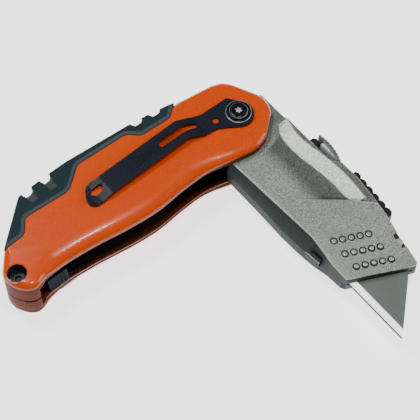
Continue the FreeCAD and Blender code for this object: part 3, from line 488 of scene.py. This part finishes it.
def tail_rim(name, top):
    """Raised rim round the tail's bore."""
    levels = [(SHELL_HIGH - 0.5, 0.0), (SHELL_HIGH + 0.02, 0.05), (SHELL_HIGH + 0.1, 0.2),
              (SHELL_HIGH + 0.1, 0.35), (SHELL_HIGH - 0.5, 0.6)]
    rim = loft(name, disc(*TAIL_HOLE, TAIL_BORE + 0.55), sided(levels, top), [ORANGE])
    carve(rim, [cutter(disc(*TAIL_HOLE, TAIL_BORE - 0.04), 18.0, 23.0, ORANGE, top=top)])
    put(rim, "handle", "orange")


shell("shell_top", "top_shell", True)
shell("shell_bottom", "bottom_shell", False)
tail_wall("tail_wall_top", True)
tail_wall("tail_wall_bottom", False)
tail_rim("tail_rim_top", True)
tail_rim("tail_rim_bottom", False)

RUBBER_TONE = np.array([0.012, 0.031, 0.037])
# Paler tone of the painted highlight along the rubber's chamfer.
RUBBER_CHAMFER_HIGHLIGHT = np.array([0.058, 0.086, 0.094])
RUBBER_PAD = np.array([0.058, 0.078, 0.082])
GRIP_FROM, GRIP_TO, GRIP_COLUMNS, CORNER_GAP = -97.1, -14.35, 44, 0.05
GRIP_PROUD, GRIP_CHAMFER, CHAMFER_WIDTH = 0.42, 0.40, 1.35
SPINE_DROP, SPINE_ROUND, SKIRT_STEP = 0.7, 0.9, 0.35
SCOOPS = ((-77.3, 18.6), (-69.2, 18.3), (-30.0, 18.4), (-22.6, 17.4))   # middle x, lowest y
SCOOP_HALF_WIDTH, SCOOP_DEPTH, SCOOP_STEP = 1.75, 1.5, 0.25
PAD_BEFORE = -60.0   # only the scoops nearer the tail have a paler pad


def chain_distance(points, x, y):
    """Distance from each (x, y) to a chain of points."""
    best = np.full(np.shape(x), 1e9)
    for (ax, ay), (bx, by) in zip(points, points[1:]):
        dx, dy = bx - ax, by - ay
        t = np.clip(((x - ax) * dx + (y - ay) * dy) / (dx * dx + dy * dy), 0, 1)
        best = np.minimum(best, np.hypot(x - ax - t * dx, y - ay - t * dy))
    return best


def strip_faces(rows, columns):
    """Quads of an upper grid, a lower grid and the wall between their borders."""
    offset = rows * columns
    upper = [(i * columns + j, (i + 1) * columns + j, (i + 1) * columns + j + 1,
              i * columns + j + 1) for i in range(rows - 1) for j in range(columns - 1)]
    lower = [tuple(v + offset for v in reversed(face)) for face in upper]
    border = ([(i, 0) for i in range(rows)] + [(rows - 1, j) for j in range(1, columns)]
              + [(i, columns - 1) for i in range(rows - 2, -1, -1)]
              + [(0, j) for j in range(columns - 2, 0, -1)])
    ring = [i * columns + j for i, j in border]
    wall = [(a, b, b + offset, a + offset) for a, b in zip(ring, ring[1:] + ring[:1])]
    return upper, lower, wall

def grid_points(*layers):
    """Points of an upper and a lower grid as one list; a layer is its x, y and z."""
    return np.concatenate([np.stack(layer, -1).reshape(-1, 3) for layer in layers])


def grip(name, node, top):
    """Rubber inlay with a chamfered edge and thumb scoops, and its skirt down the spine."""
    # Columns close to both sides of each corner of the spine keep its notches sharp.
    corners = [p[0] + d for p in SPINE[1:-1] for d in (-CORNER_GAP, CORNER_GAP)]
    xs = np.unique(np.concatenate([np.arange(GRIP_FROM, GRIP_TO, 0.3), corners]))
    parts = np.linspace(0, 1, GRIP_COLUMNS)
    low, high = along(INLAY_EDGE, xs), along(SPINE, xs)
    low = np.minimum(low, high - CORNER_GAP)
    y = low[:, None] + (high - low)[:, None] * parts
    x = np.repeat(xs[:, None], len(parts), 1)
    to_edge, to_spine = chain_distance(INLAY_EDGE, x, y), chain_distance(SPINE, x, y)
    z = SHELL_HIGH + GRIP_PROUD - GRIP_CHAMFER * np.clip(1 - to_edge / CHAMFER_WIDTH, 0, 1)
    z = z - SPINE_DROP * np.clip(1 - to_spine / SPINE_ROUND, 0, 1) ** 2
    # Painted highlight: a paler band along the chamfer near the inlay's edge.
    band = np.clip((1.45 - to_edge) / 0.25, 0, 1) * np.clip((to_edge - 0.18) / 0.15, 0, 1)
    tone = RUBBER_TONE + (RUBBER_CHAMFER_HIGHLIGHT - RUBBER_TONE) * band[..., None]
    tone = tone * np.clip(to_edge / 0.2, 0.15, 1)[..., None]
    for centre, start in SCOOPS:
        across = np.abs(x - centre) / SCOOP_HALF_WIDTH
        depth = np.clip((y - start) / 2.2, 0, 1) * np.clip(1 - across ** 4, 0, 1)
        z = z - SCOOP_DEPTH * depth * np.clip((y - start) / 4.5, 0, 1)
        z = z - SCOOP_STEP * (depth > 0.05)
        if centre < PAD_BEFORE:
            pad = np.clip(depth * 3, 0, 1)[..., None]
            tone = tone * (1 - pad) + RUBBER_PAD * pad
    base = np.full_like(z, SHELL_HIGH - SKIRT_TOP)
    if not top:
        z, base = 2 * MIDDLE - z, 2 * MIDDLE - base
    upper, lower, wall = strip_faces(*x.shape)
    face = new_object(name + "_face", grid_points((x, y, z), (x, y, base)).tolist(),
                      upper + lower + wall, [RUBBER, RUBBER], HANDLE, sharp=28,
                      indices=[0] * len(upper) + [1] * (len(lower) + len(wall)),
                      tones=np.tile(tone.reshape(-1, 3), (2, 1)), wall_tone=RUBBER_TONE)
    under = soften(resample(SPINE + UNDER_INLAY[::-1], SKIRT_STEP, True), 0.7, SKIRT_STEP)
    levels = [(MIDDLE + SEAM, 0.3), (MIDDLE + 0.35, 0.0), (SHELL_HIGH - SKIRT_TOP, 0.0)]
    skirt = loft(name + "_skirt", under, sided(levels, top), [RUBBER, RUBBER], tone=RUBBER_TONE)
    put(face, "handle", "rubber", node)
    put(skirt, "handle", "rubber")


grip("grip_top", "top_grip", True)
grip("grip_bottom", "bottom_grip", False)


# ------------------------------------------------------------------ head
UPPER = [(-4.2, 12.5), (-3.2, 13.8), (9.0, 13.9), (11.0, 14.5), (22.0, 14.5), (33.0, 14.6),
         (37.0, 17.2), (45.0, 17.3), (54.0, 16.3), (62.0, 15.3), (70.0, 13.6), (82.6, 11.4),
         (83.2, 10.0)]
LOWER_FACE = [(7.94, -10.54), (11.4, -13.3), (19.0, -12.9), (39.0, -11.9), (52.7, -11.2),
              (65.0, -12.6), (71.6, -12.6), (72.2, -12.4), (83.2, 10.0)]
LOWER_EDGE = [(7.94, -10.54), (11.4, -15.0), (28.0, -15.0), (42.0, -15.3), (50.0, -15.0),
              (58.0, -14.4), (64.0, -13.4), (70.6, -13.2), (72.2, -12.4), (83.2, 10.0)]
HUB = 13.2
BAND_LOW = [(9.0, 11.2), (10.2, 10.5), (12.2, 9.2), (14.2, 8.2), (17.2, 7.7), (21.2, 7.5),
            (26.2, 7.8), (31.2, 8.5), (35.2, 9.1), (41.2, 9.5), (47.2, 9.3), (49.2, 9.6),
            (52.7, 10.8)]
BAND_HIGH = [(9.0, 13.9), (11.2, 13.9), (14.2, 13.2), (17.2, 12.6), (21.2, 12.6), (26.2, 13.1),
             (31.2, 14.0), (35.2, 14.4), (40.2, 14.7), (45.2, 14.5), (52.7, 13.7)]
PANEL_LEFT = [(0.0, 15.2), (2.0, 14.4), (5.0, 13.4), (8.0, 12.2), (10.0, 10.4)]
PANEL_RIGHT = [(-0.8, 41.9), (4.5, 46.4), (8.6, 49.9), (10.8, 52.4)]
PANEL_LOW = -3.5
PANEL_DEPTH = 1.3
BAND_FROM, BAND_TO, FACET_FROM = 10.6, 52.6, 53.2
NOSE_FROM, NOSE_TO, NOSE_DROP = 53.5, 84.0, 2.7
HUB_LOW_TO, HUB_HIGH_TO = 7.94, -4.2   # x at which the round hub ends below and above
BODY_FROM, MOUTH_FROM, NOSE_END = 8.0, 72.2, 83.1
BELOW_BAND, ON_BAND, ABOVE_BAND = 56, 15, 10   # grid columns across the head
HEAD_SEAM = 0.04

# Rooms in both halves of the head: outline, lowest and highest z.
CAVITY = np.array([(9.0, 7.0), (9.0, -8.0), (11.4, -11.8), (54.0, -12.0), (61.6, -11.0),
                   (62.5, -9.2), (77.2, 2.6), (77.2, 9.4), (66.0, 10.3), (60.0, 10.8),
                   (-9.5, 10.8), (-9.5, 7.0)])
BACK_NOTCH = np.array([(69.9, 11.4), (75.3, 10.7), (76.4, 16.0), (69.3, 16.0)])
FLANK_NOTCH = np.array([(53.6, -16.8), (55.9, -13.1), (60.6, -12.9), (61.5, -16.8)])
HEAD_ROOM = [(CAVITY, 8.2, 12.8),
             (block(53.5, 90.0, -12.0, 9.0), 10.0, 11.0),
             (block(-15.0, 35.6, 9.0, 22.0), 8.5, 12.5),
             (block(41.2, 63.8, 11.3, 22.0), 7.1, 13.9),
             (BACK_NOTCH, 13.3, 17.0),
             (FLANK_NOTCH, 9.0, 13.3),
             (disc(0, 0, 3.1), 3.0, 18.0)]
WASHER_ROOM = (disc(0, 0, 6.2), 15.2, 18.0)


def across_limits(x, lower):
    """Lowest and highest y of the head at each x."""
    hub = np.sqrt(np.clip(HUB ** 2 - x ** 2, 0.05, None))
    low = np.where(x < HUB_LOW_TO, -hub, along(lower, x))
    high = np.where(x < HUB_HIGH_TO, hub, along(UPPER, x))
    return low, high


def ease(value):
    """Smooth step from 0 to 1."""
    value = np.clip(value, 0, 1)
    return value * value * (3 - 2 * value)


def panel_inside(x, y):
    """1 inside the hollow panel, and the x of its right edge."""
    left = np.interp(y, [p[0] for p in PANEL_LEFT], [p[1] for p in PANEL_LEFT])
    right = np.interp(y, [p[0] for p in PANEL_RIGHT], [p[1] for p in PANEL_RIGHT])
    return ease((x - left) / 1.6) * ease((right - x) / 0.8), right


def facet_end(y):
    """Where the small facet that closes the band meets the nose's face."""
    return FACET_FROM + 0.946 * (y - 11.3)


def nose_drop(x):
    """Depth of the tapered nose below the plane of the head's face."""
    return NOSE_DROP * np.clip((x - NOSE_FROM) / (NOSE_TO - NOSE_FROM), 0, 1)


def edge_drop(distance):
    """Rounding of a face close to its edge."""
    return 0.3 * np.clip(1 - distance / 0.5, 0, 1) ** 2


def face_height(x, y):
    """Height of the head's sculpted face."""
    low, high = along(BAND_LOW, x), along(BAND_HIGH, x)
    inside, _ = panel_inside(x, y)
    band_inside = ease((x - 10.5) / 1.3) * np.clip((facet_end(y) - x) / 2.6, 0, 1)
    panel = PANEL_DEPTH * ease((y - PANEL_LOW) / 12.0) * inside * (y <= low)
    slope = PANEL_DEPTH * np.clip((high - y) / (high - low), 0, 1) * band_inside * (y > low)
    z = HEAD_HIGH - np.where(y > low, slope, panel)
    bottom, top = across_limits(x, LOWER_FACE)
    return z - nose_drop(x) - edge_drop(np.minimum(y - bottom, top - y))


FACE_TONE = np.array([0.430, 0.474, 0.405])
STRIP_TONE = np.array([0.215, 0.242, 0.205])
# Painted highlight tone of the band and of its edge lines.
BAND_HIGHLIGHT_TONE = np.array([0.93, 0.99, 0.91])
PANEL_TONE = np.array([0.185, 0.197, 0.175])
# Tone of the flanks' painted shade.
FLANK_SHADE_TONE = np.array([0.036, 0.052, 0.053])
# Painted highlight tone of the line along the lower edge, and the share of such lines.
EDGE_HIGHLIGHT_TONE = np.array([0.62, 0.65, 0.60])
HIGHLIGHT_SHARE = 0.9


def blend_tone(tone, other, share):
    """Mixes a second tone in by its share at each point."""
    return tone * (1 - share[..., None]) + other * share[..., None]


def face_tone(x, y):
    """Colour of the head's face: pale cast metal, painted-highlight band, dark hollow, edge
    strip.
    """
    low, high = along(BAND_LOW, x), along(BAND_HIGH, x)
    inside, right = panel_inside(x, y)
    tone = np.broadcast_to(FACE_TONE, (*x.shape, 3))
    # Painted shade where the head runs under the handle: darker at the rear corner and towards
    # the rear.
    rear_corner_shade = 0.75 * np.clip((13.0 - x) / 5.0, 0, 1) * np.clip((y - 2.0) / 8.0, 0, 1)
    tone = blend_tone(tone, STRIP_TONE, rear_corner_shade)
    rear_shade = 0.6 * ease((22.0 - x) / 9.0) * ease((y + 8) / 14.0)
    tone = blend_tone(tone, STRIP_TONE, rear_shade)
    hollow = ease((y - PANEL_LOW - 0.5) / 6.5) * inside * (y <= low)
    tone = blend_tone(tone, PANEL_TONE, hollow)
    # Painted shade in the step at the hollow's right edge.
    wedge = np.clip(1 - np.abs(right - 1.1 - x) / 1.6, 0, 1) * np.clip(y / 3, 0, 1) * (y < low)
    tone = blend_tone(tone, FLANK_SHADE_TONE, 0.85 * wedge)
    # The band is painted near white as a highlight.
    on_band = (y > low) * (y < high) * (x > BAND_FROM) * (x < BAND_TO)
    tone = blend_tone(tone, BAND_HIGHLIGHT_TONE, on_band.astype(float))
    strip = (y >= high) * (x > 11.0) * (x < 57.0)
    tone = blend_tone(tone, STRIP_TONE, strip.astype(float))
    facet = (y > low) * (y < high + 1.3) * (x >= BAND_TO) * (x < facet_end(y))
    tone = blend_tone(tone, STRIP_TONE * 0.8, facet.astype(float))
    # Painted highlights: thin bright lines along the band's edges and the facet's edge.
    band_edges = (np.abs(y - low) < 0.3) + (np.abs(y - high) < 0.16)
    band_edges = band_edges * (x > BAND_FROM) * (x < FACET_FROM)
    facet_edge = (np.abs(x - facet_end(y)) < 0.3) * (y > 11.0) * (y < 15.2)
    tone = blend_tone(tone, BAND_HIGHLIGHT_TONE, HIGHLIGHT_SHARE * np.clip(band_edges + facet_edge, 0, 1))
    # Painted highlight: a bright line along the face's lower edge.
    bottom, _ = across_limits(x, LOWER_FACE)
    return blend_tone(tone, EDGE_HIGHLIGHT_TONE, HIGHLIGHT_SHARE * np.clip(1 - (y - bottom) / 0.45, 0, 1))


def head_half(name, node, top):
    """Half of the head as a fine grid that follows the band between its lower and upper edges."""
    xs = np.concatenate([np.arange(-13.0, BODY_FROM, 0.8), np.arange(BODY_FROM, NOSE_END, 0.3),
                         [NOSE_END]])
    face_low, face_high = across_limits(xs, LOWER_FACE if top else LOWER_EDGE)
    edge_low, edge_high = across_limits(xs, LOWER_EDGE)
    at = np.clip(xs, 9.0, 57.0)
    base_low, base_high = across_limits(at, LOWER_FACE)
    first = np.clip((along(BAND_LOW, at) - base_low) / (base_high - base_low), 0.4, 0.9)
    second = np.clip((along(BAND_HIGH, at) - base_low) / (base_high - base_low), first + 0.03,
                     0.985)
    parts = np.stack([np.concatenate([np.linspace(0, a, BELOW_BAND, endpoint=False),
                                      np.linspace(a, b, ON_BAND, endpoint=False),
                                      np.linspace(b, 1, ABOVE_BAND)])
                      for a, b in zip(first, second)])
    face_y = face_low[:, None] + (face_high - face_low)[:, None] * parts
    edge_y = edge_low[:, None] + (edge_high - edge_low)[:, None] * parts
    x = np.repeat(xs[:, None], parts.shape[1], 1)
    if top:
        face_z = face_height(x, face_y)
        tone = face_tone(x, face_y)
    else:
        rim = np.minimum(face_y - face_low[:, None], face_high[:, None] - face_y)
        face_z = 2 * MIDDLE - HEAD_HIGH + nose_drop(x) + edge_drop(rim)
        tone = np.broadcast_to(FACE_TONE, (*x.shape, 3))
    seam = np.full_like(x, MIDDLE + (HEAD_SEAM if top else -HEAD_SEAM))
    upper, lower, wall = strip_faces(*x.shape)
    rows, columns = x.shape
    # The wall takes the flank's painted shade, and a darker painted shadow round the mouth: on
    # the lower edge beyond MOUTH_FROM and the nose's end.
    wall_painted_shade = [2 if xs[min(k, rows - 1)] > MOUTH_FROM and k < rows + columns - 2 else 1
                   for k in range(len(wall))]
    made = new_object(name, grid_points((x, face_y, face_z), (x, edge_y, seam)).tolist(),
                      upper + lower + wall, [CAST, CAST_FLANK_SHADE if top else FAR_FLANK_SHADE, DEEP], HEAD,
                      indices=[0] * len(upper) + [1] * len(lower) + wall_painted_shade, sharp=25,
                      tones=np.tile(tone.reshape(-1, 3), (2, 1)), wall_tone=FLANK_SHADE_TONE)
    cutters = [cutter(*room, DEEP, HEAD) for room in HEAD_ROOM]
    cutters.append(cutter(*WASHER_ROOM, DEEP, HEAD, top))
    carve(made, cutters)
    put(made, "head", "head_cast", node)


head_half("head_near", "head_housing", True)
head_half("head_far", "head_cover", False)

# Tabs that lock the two halves of the head together.
low_tab = np.array([(54.4, -15.5), (56.3, -13.6), (60.1, -13.4), (60.8, -14.9)])
# The tab's sides take the flank's painted shade, its top edge the pale cast colour.
put(loft("flank_tab", low_tab, [(9.3, 0.25), (9.5, 0), (12.6, 0), (12.75, 0.12)],
         [CAST_FLANK_SHADE, CAST_DOT], HEAD, level_material=[0, 0, 1]), "head", "head_cast")
high_tab = np.array([(71.3, 11.0), (71.9, 13.1), (73.6, 12.9), (74.8, 10.6)])
put(loft("back_tab", high_tab, [(13.0, 0), (14.1, 0), (14.3, 0.2)], [CAST_DOT],
         HEAD), "head", "head_cast")

DOT_ROWS = [((64.1, 5.2), (58.6, -6.2)), ((70.2, 5.1), (64.6, -6.4)), ((76.1, 4.9), (70.6, -6.5))]
DOTS_IN_ROW, DOT_SIDES = 5, 24
# Radius, height above the face and material of each ring of a dot, from its foot upwards.
# The dark outer rings are a painted shade round each dome.
DOT_RINGS = [(1.42, -0.15, 1), (1.4, 0.035, 1), (0.95, 0.035, 1), (0.93, 0.2, 1),
             (0.83, 0.36, 1), (0.62, 0.47, 0), (0.42, 0.54, 0), (0.2, 0.58, 0)]
LINER_UNDERSIDE = 15.42   # dots that pass under the liner stay below this


def add_dot(verts, faces, indices, x, y):
    """One domed dot in a ring of painted shade, set on the tapered face of the nose."""
    ground_z = float(face_height(np.array([x]), np.array([y]))[0])
    tilt = -NOSE_DROP / (NOSE_TO - NOSE_FROM)
    squeeze = min(max(LINER_UNDERSIDE - ground_z, 0.1) / DOT_RINGS[-1][1], 1.0)
    start = len(verts)
    for radius, rise, _ in DOT_RINGS:
        for turn in np.linspace(0, 2 * math.pi, DOT_SIDES, endpoint=False):
            dx = radius * math.cos(turn)
            verts.append((x + dx, y + radius * math.sin(turn),
                          ground_z + rise * squeeze + tilt * dx))
    for row, (_, _, material) in enumerate(DOT_RINGS[1:]):
        for side in range(DOT_SIDES):
            a = start + row * DOT_SIDES + side
            b = start + row * DOT_SIDES + (side + 1) % DOT_SIDES
            faces.append((a, b, b + DOT_SIDES, a + DOT_SIDES))
            indices.append(material)
    last_ring = start + DOT_SIDES * (len(DOT_RINGS) - 1)
    faces.append(tuple(last_ring + side for side in range(DOT_SIDES)))
    indices.append(0)


dot_verts, dot_faces, dot_indices = [], [], []
for first, last in DOT_ROWS:
    for k in range(DOTS_IN_ROW):
        share = k / (DOTS_IN_ROW - 1)
        add_dot(dot_verts, dot_faces, dot_indices, first[0] + (last[0] - first[0]) * share,
                first[1] + (last[1] - first[1]) * share)
put(new_object("nose_dots", dot_verts, dot_faces, [CAST_DOT, DEEP], HEAD, indices=dot_indices,
               sharp=60), "head", "head_cast")


# ------------------------------------------------------------------ lever and slider
RIDGE_SAMPLES = 10


def scalloped(start, end, count, height, pad_low):
    """Outline of a pad whose top is a row of round ridges between two points."""
    start, end = np.array(start, float), np.array(end, float)
    top = []
    for t in np.linspace(0, 1, count * RIDGE_SAMPLES + 1):
        base = start + (end - start) * t
        top.append((base[0], base[1] + height * abs(math.sin(math.pi * count * t)) ** 0.7))
    return np.array(top + pad_low)


lever = scalloped((41.7, 19.3), (63.0, 17.5), 6, 0.85,
                  [(63.2, 15.2), (63.0, 13.5), (45.0, 13.9), (41.9, 14.3)])
put(loft("release_lever_pad", lever, chamfered(7.4, 13.6, 0.3, 0.3), [BLACK], HEAD),
    "lever", "black_plastic", "release_lever")

RIDGES, KNURL_FROM, KNURL_TO, KNURL_CROWN = 10, 22.4, 36.0, 1.25
knurl = scalloped((KNURL_FROM, 19.2), (KNURL_TO, 17.5), RIDGES, 0.38,
                  [(35.6, 17.4), (31.8, 17.8), (27.5, 18.3), (25.5, 18.5), (25.2, 18.85),
                   (22.6, 18.85)])
ridged = slice(0, RIDGES * RIDGE_SAMPLES + 1)
share = np.clip((knurl[ridged, 0] - KNURL_FROM) / (KNURL_TO - KNURL_FROM), 0, 1)
knurl[ridged, 1] += KNURL_CROWN * np.sin(np.pi * share) ** 0.8
put(loft("slider_knurl", knurl, chamfered(6.4, 14.6, 0.3, 0.2), [NICKEL_AND_RING_HIGHLIGHT], HEAD),
    "button", "knurled", "slider_button")
stem = np.array([(21.6, 15.0), (32.4, 15.0), (32.4, 15.8), (25.0, 15.8), (25.0, 17.9),
                 (22.7, 17.9), (21.7, 17.0)])
put(loft("slider_stem", stem, chamfered(7.3, 13.7, 0.15, 0.15), [BLACK], HEAD),
    "carriage", "black_plastic", "slider_base")
# The slider's near facet is painted with the highlight.
facet = np.array([(25.9, 16.9), (33.6, 16.95), (34.6, 17.25), (33.2, 17.6), (30.2, 18.0),
                  (27.4, 18.3), (25.9, 18.1)])
put(loft("slider_facet", facet, [(6.5, 0.2), (6.8, 0), (14.35, 0), (14.75, 0.3)], [NICKEL_HIGHLIGHT],
         HEAD), "button", "knurled")

# ------------------------------------------------------------------ blade's edge
# Ground bevel along the cutting edge, a wedge about the blade's middle plane, and a near-black
# strip at its very edge, which is a painted shade line.
EDGE_Y, GRIND_Y, GRIND_HALF = -11.5, -9.2, 0.32
wedge = [(60.0, EDGE_Y, MIDDLE), (99.62, EDGE_Y, MIDDLE),
         (97.57, GRIND_Y, MIDDLE + GRIND_HALF), (60.0, GRIND_Y, MIDDLE + GRIND_HALF),
         (97.57, GRIND_Y, MIDDLE - GRIND_HALF), (60.0, GRIND_Y, MIDDLE - GRIND_HALF)]
wedge_faces = [(0, 1, 2, 3), (0, 5, 4, 1), (3, 2, 4, 5), (1, 4, 2), (0, 3, 5)]
put(new_object("blade_bevel", wedge, wedge_faces, [BLADE_EDGE, BLADE_FACE], HEAD,
               indices=[0, 0, 1, 1, 1]), "carriage", "blade_steel")
edge_shade_strip = np.array([(60.5, -11.66), (99.6, -11.66), (99.1, -11.14), (60.5, -11.14)])
put(loft("blade_edge_shade_strip", edge_shade_strip, chamfered(10.36, 10.64, 0.06, 0.05), [BLADE_EDGE_SHADE], HEAD),
    "carriage", "blade_steel")

# ------------------------------------------------------------------ pivot's washer and screw
# A narrow ring band of the washer and of the screw's head takes the nickel as a painted
# highlight.
washer_levels = [(21.95, 0), (22.25, 0), (22.45, 0.25), (22.45, 0.65), (22.3, 0.8), (22.3, 1.1)]
put(loft("pivot_washer", disc(0, 0, 4.75, 72), washer_levels, [NAVY, NICKEL_AND_RING_HIGHLIGHT],
         level_material=[0, 1, 0, 0, 0]), "handle", "black_steel", "clip_washer")
screw_levels = [(22.3, 0), (23.0, 0.02), (23.3, 0.2), (23.45, 0.5), (23.5, 0.8), (23.36, 0.95),
                (23.36, 1.15), (23.45, 1.25)]
screw = loft("pivot_head", disc(0, 0, 3.45, 72), screw_levels, [NAVY, NICKEL_AND_RING_HIGHLIGHT],
             level_material=[0, 1, 0, 0, 0, 0, 0])
STAR_RADIUS, STAR_WAVE, STAR_POINTS = 1.05, 0.25, 6
turns = np.linspace(0, 2 * math.pi, 60, endpoint=False)
reach = STAR_RADIUS + STAR_WAVE * np.cos(STAR_POINTS * turns)
star = np.column_stack([reach * np.cos(turns), reach * np.sin(turns)])
# The star recess's cut faces take the painted highlight.
carve(screw, [cutter(star, 22.7, 24.5, NICKEL_HIGHLIGHT)])
put(screw, "handle", "black_steel", "pivot_screw")

# ------------------------------------------------------------------ finishes of the CAD's nodes
FINISHES = [
    (LINER, ["top_liner", "bottom_liner", "lock_leaf"]),
    (BLACK, ["back_spacer", "storage_hatch", "blade_carrier"]),
    (STEEL, ["tail_block", "spine_screws", "stop_pin", "pivot_bolt", "pivot_washers", "hatch_pin",
             "head_screws", "lever_pin", "lever_spring"]),
    (NAVY, ["tail_screws", "pocket_clip"]),
    (BLADE_FACE, ["spare_blades", "blade"]),
    (RIBBED, ["hatch_latch"]),
]
for material, names in FINISHES:
    for name in names:
        materials = frame["nodes"][name].data.materials
        materials.clear()
        materials.append(material)

# The blade's ground faces are the only ones that lean.
blade = frame["nodes"]["blade"].data
blade.materials.append(BLADE_EDGE)
for face in blade.polygons:
    leans = 0.05 < abs(face.normal.x) < 0.9 and abs(face.normal.z) > 0.5
    face.material_index = 1 if leans else 0

BEVELS = {"pocket_clip": 0.18, "hatch_latch": 0.12, "storage_hatch": 0.2}
for name, width in BEVELS.items():
    bevel = frame["nodes"][name].modifiers.new("edge_break", "BEVEL")
    bevel.width = width * MM
    bevel.segments = 3
    bevel.limit_method = "ANGLE"
    bevel.angle_limit = math.radians(40)
    # The clip's broken edges take the painted highlight.
    if name == "pocket_clip":
        frame["nodes"][name].data.materials.append(CLIP_EDGE_HIGHLIGHT)
        bevel.material = 1

# ------------------------------------------------------------------ floor, light and camera
FLOOR_SIZE, FLOOR_Z = 6, -0.0002
bpy.ops.mesh.primitive_plane_add(size=FLOOR_SIZE, location=(0, 0, FLOOR_Z))
floor = bpy.context.object
floor.name = "floor"
ground = Shader("floor")
ground.put(ground.surface.inputs["Base Color"], (0.93, 0.93, 0.93, 1))
ground.put(ground.surface.inputs["Roughness"], 0.9)
ground.put(ground.surface.inputs["Emission Color"], (1, 1, 1, 1))
ground.put(ground.surface.inputs["Emission Strength"], 1.8)
floor.data.materials.append(ground.material)

VIEW_TURN = Matrix.Rotation(math.radians(-40.7), 4, "Z")
PIVOT_IN_VIEW = Vector((10.25, 33.8, 0))
PIVOT = Vector((PIVOT_X, PIVOT_Y, 0))
SENSOR_WIDTH, LENS = 36.0, 132.942857
ELEVATION, DISTANCE = math.radians(61), 550

# Place in the camera's level frame, size and power of each lamp.
LAMPS = {"band": ((-230, 160, 640), 0.14, 2.1), "over": ((60, -40, 700), 0.10, 2.0),
         "right": ((560, 60, 330), 0.35, 1.7), "left": ((-520, -160, 420), 0.35, 0.85)}
LAMP_TARGET = (0, 0, 10)


def from_view(point):
    """A point of the camera's level frame, in millimetres, in the row frame in metres."""
    return (VIEW_TURN @ (Vector(point) - PIVOT_IN_VIEW) + PIVOT) * MM


def aim(obj, place, target):
    """Puts a lamp or the camera at a place and turns it towards a target."""
    obj.location = from_view(place)
    obj.rotation_euler = (from_view(target) - obj.location).to_track_quat("-Z", "Y").to_euler()
    bpy.context.collection.objects.link(obj)


for name, (place, size, power) in LAMPS.items():
    lamp = bpy.data.lights.new(name, "AREA")
    lamp.size = size
    lamp.energy = power
    aim(bpy.data.objects.new(name, lamp), place, LAMP_TARGET)

world = bpy.data.worlds.new("studio")
bpy.context.scene.world = world
world.use_nodes = True
background = world.node_tree.nodes["Background"]
background.inputs["Color"].default_value = (1, 1, 1, 1)
background.inputs["Strength"].default_value = 0.06

camera_data = bpy.data.cameras.new("camera")
camera_data.sensor_width = SENSOR_WIDTH
camera_data.lens = LENS
camera = bpy.data.objects.new("camera", camera_data)
eye = (0, -DISTANCE * math.cos(ELEVATION), MIDDLE + DISTANCE * math.sin(ELEVATION))
aim(camera, eye, (0, 0, MIDDLE))
bpy.context.scene.camera = camera
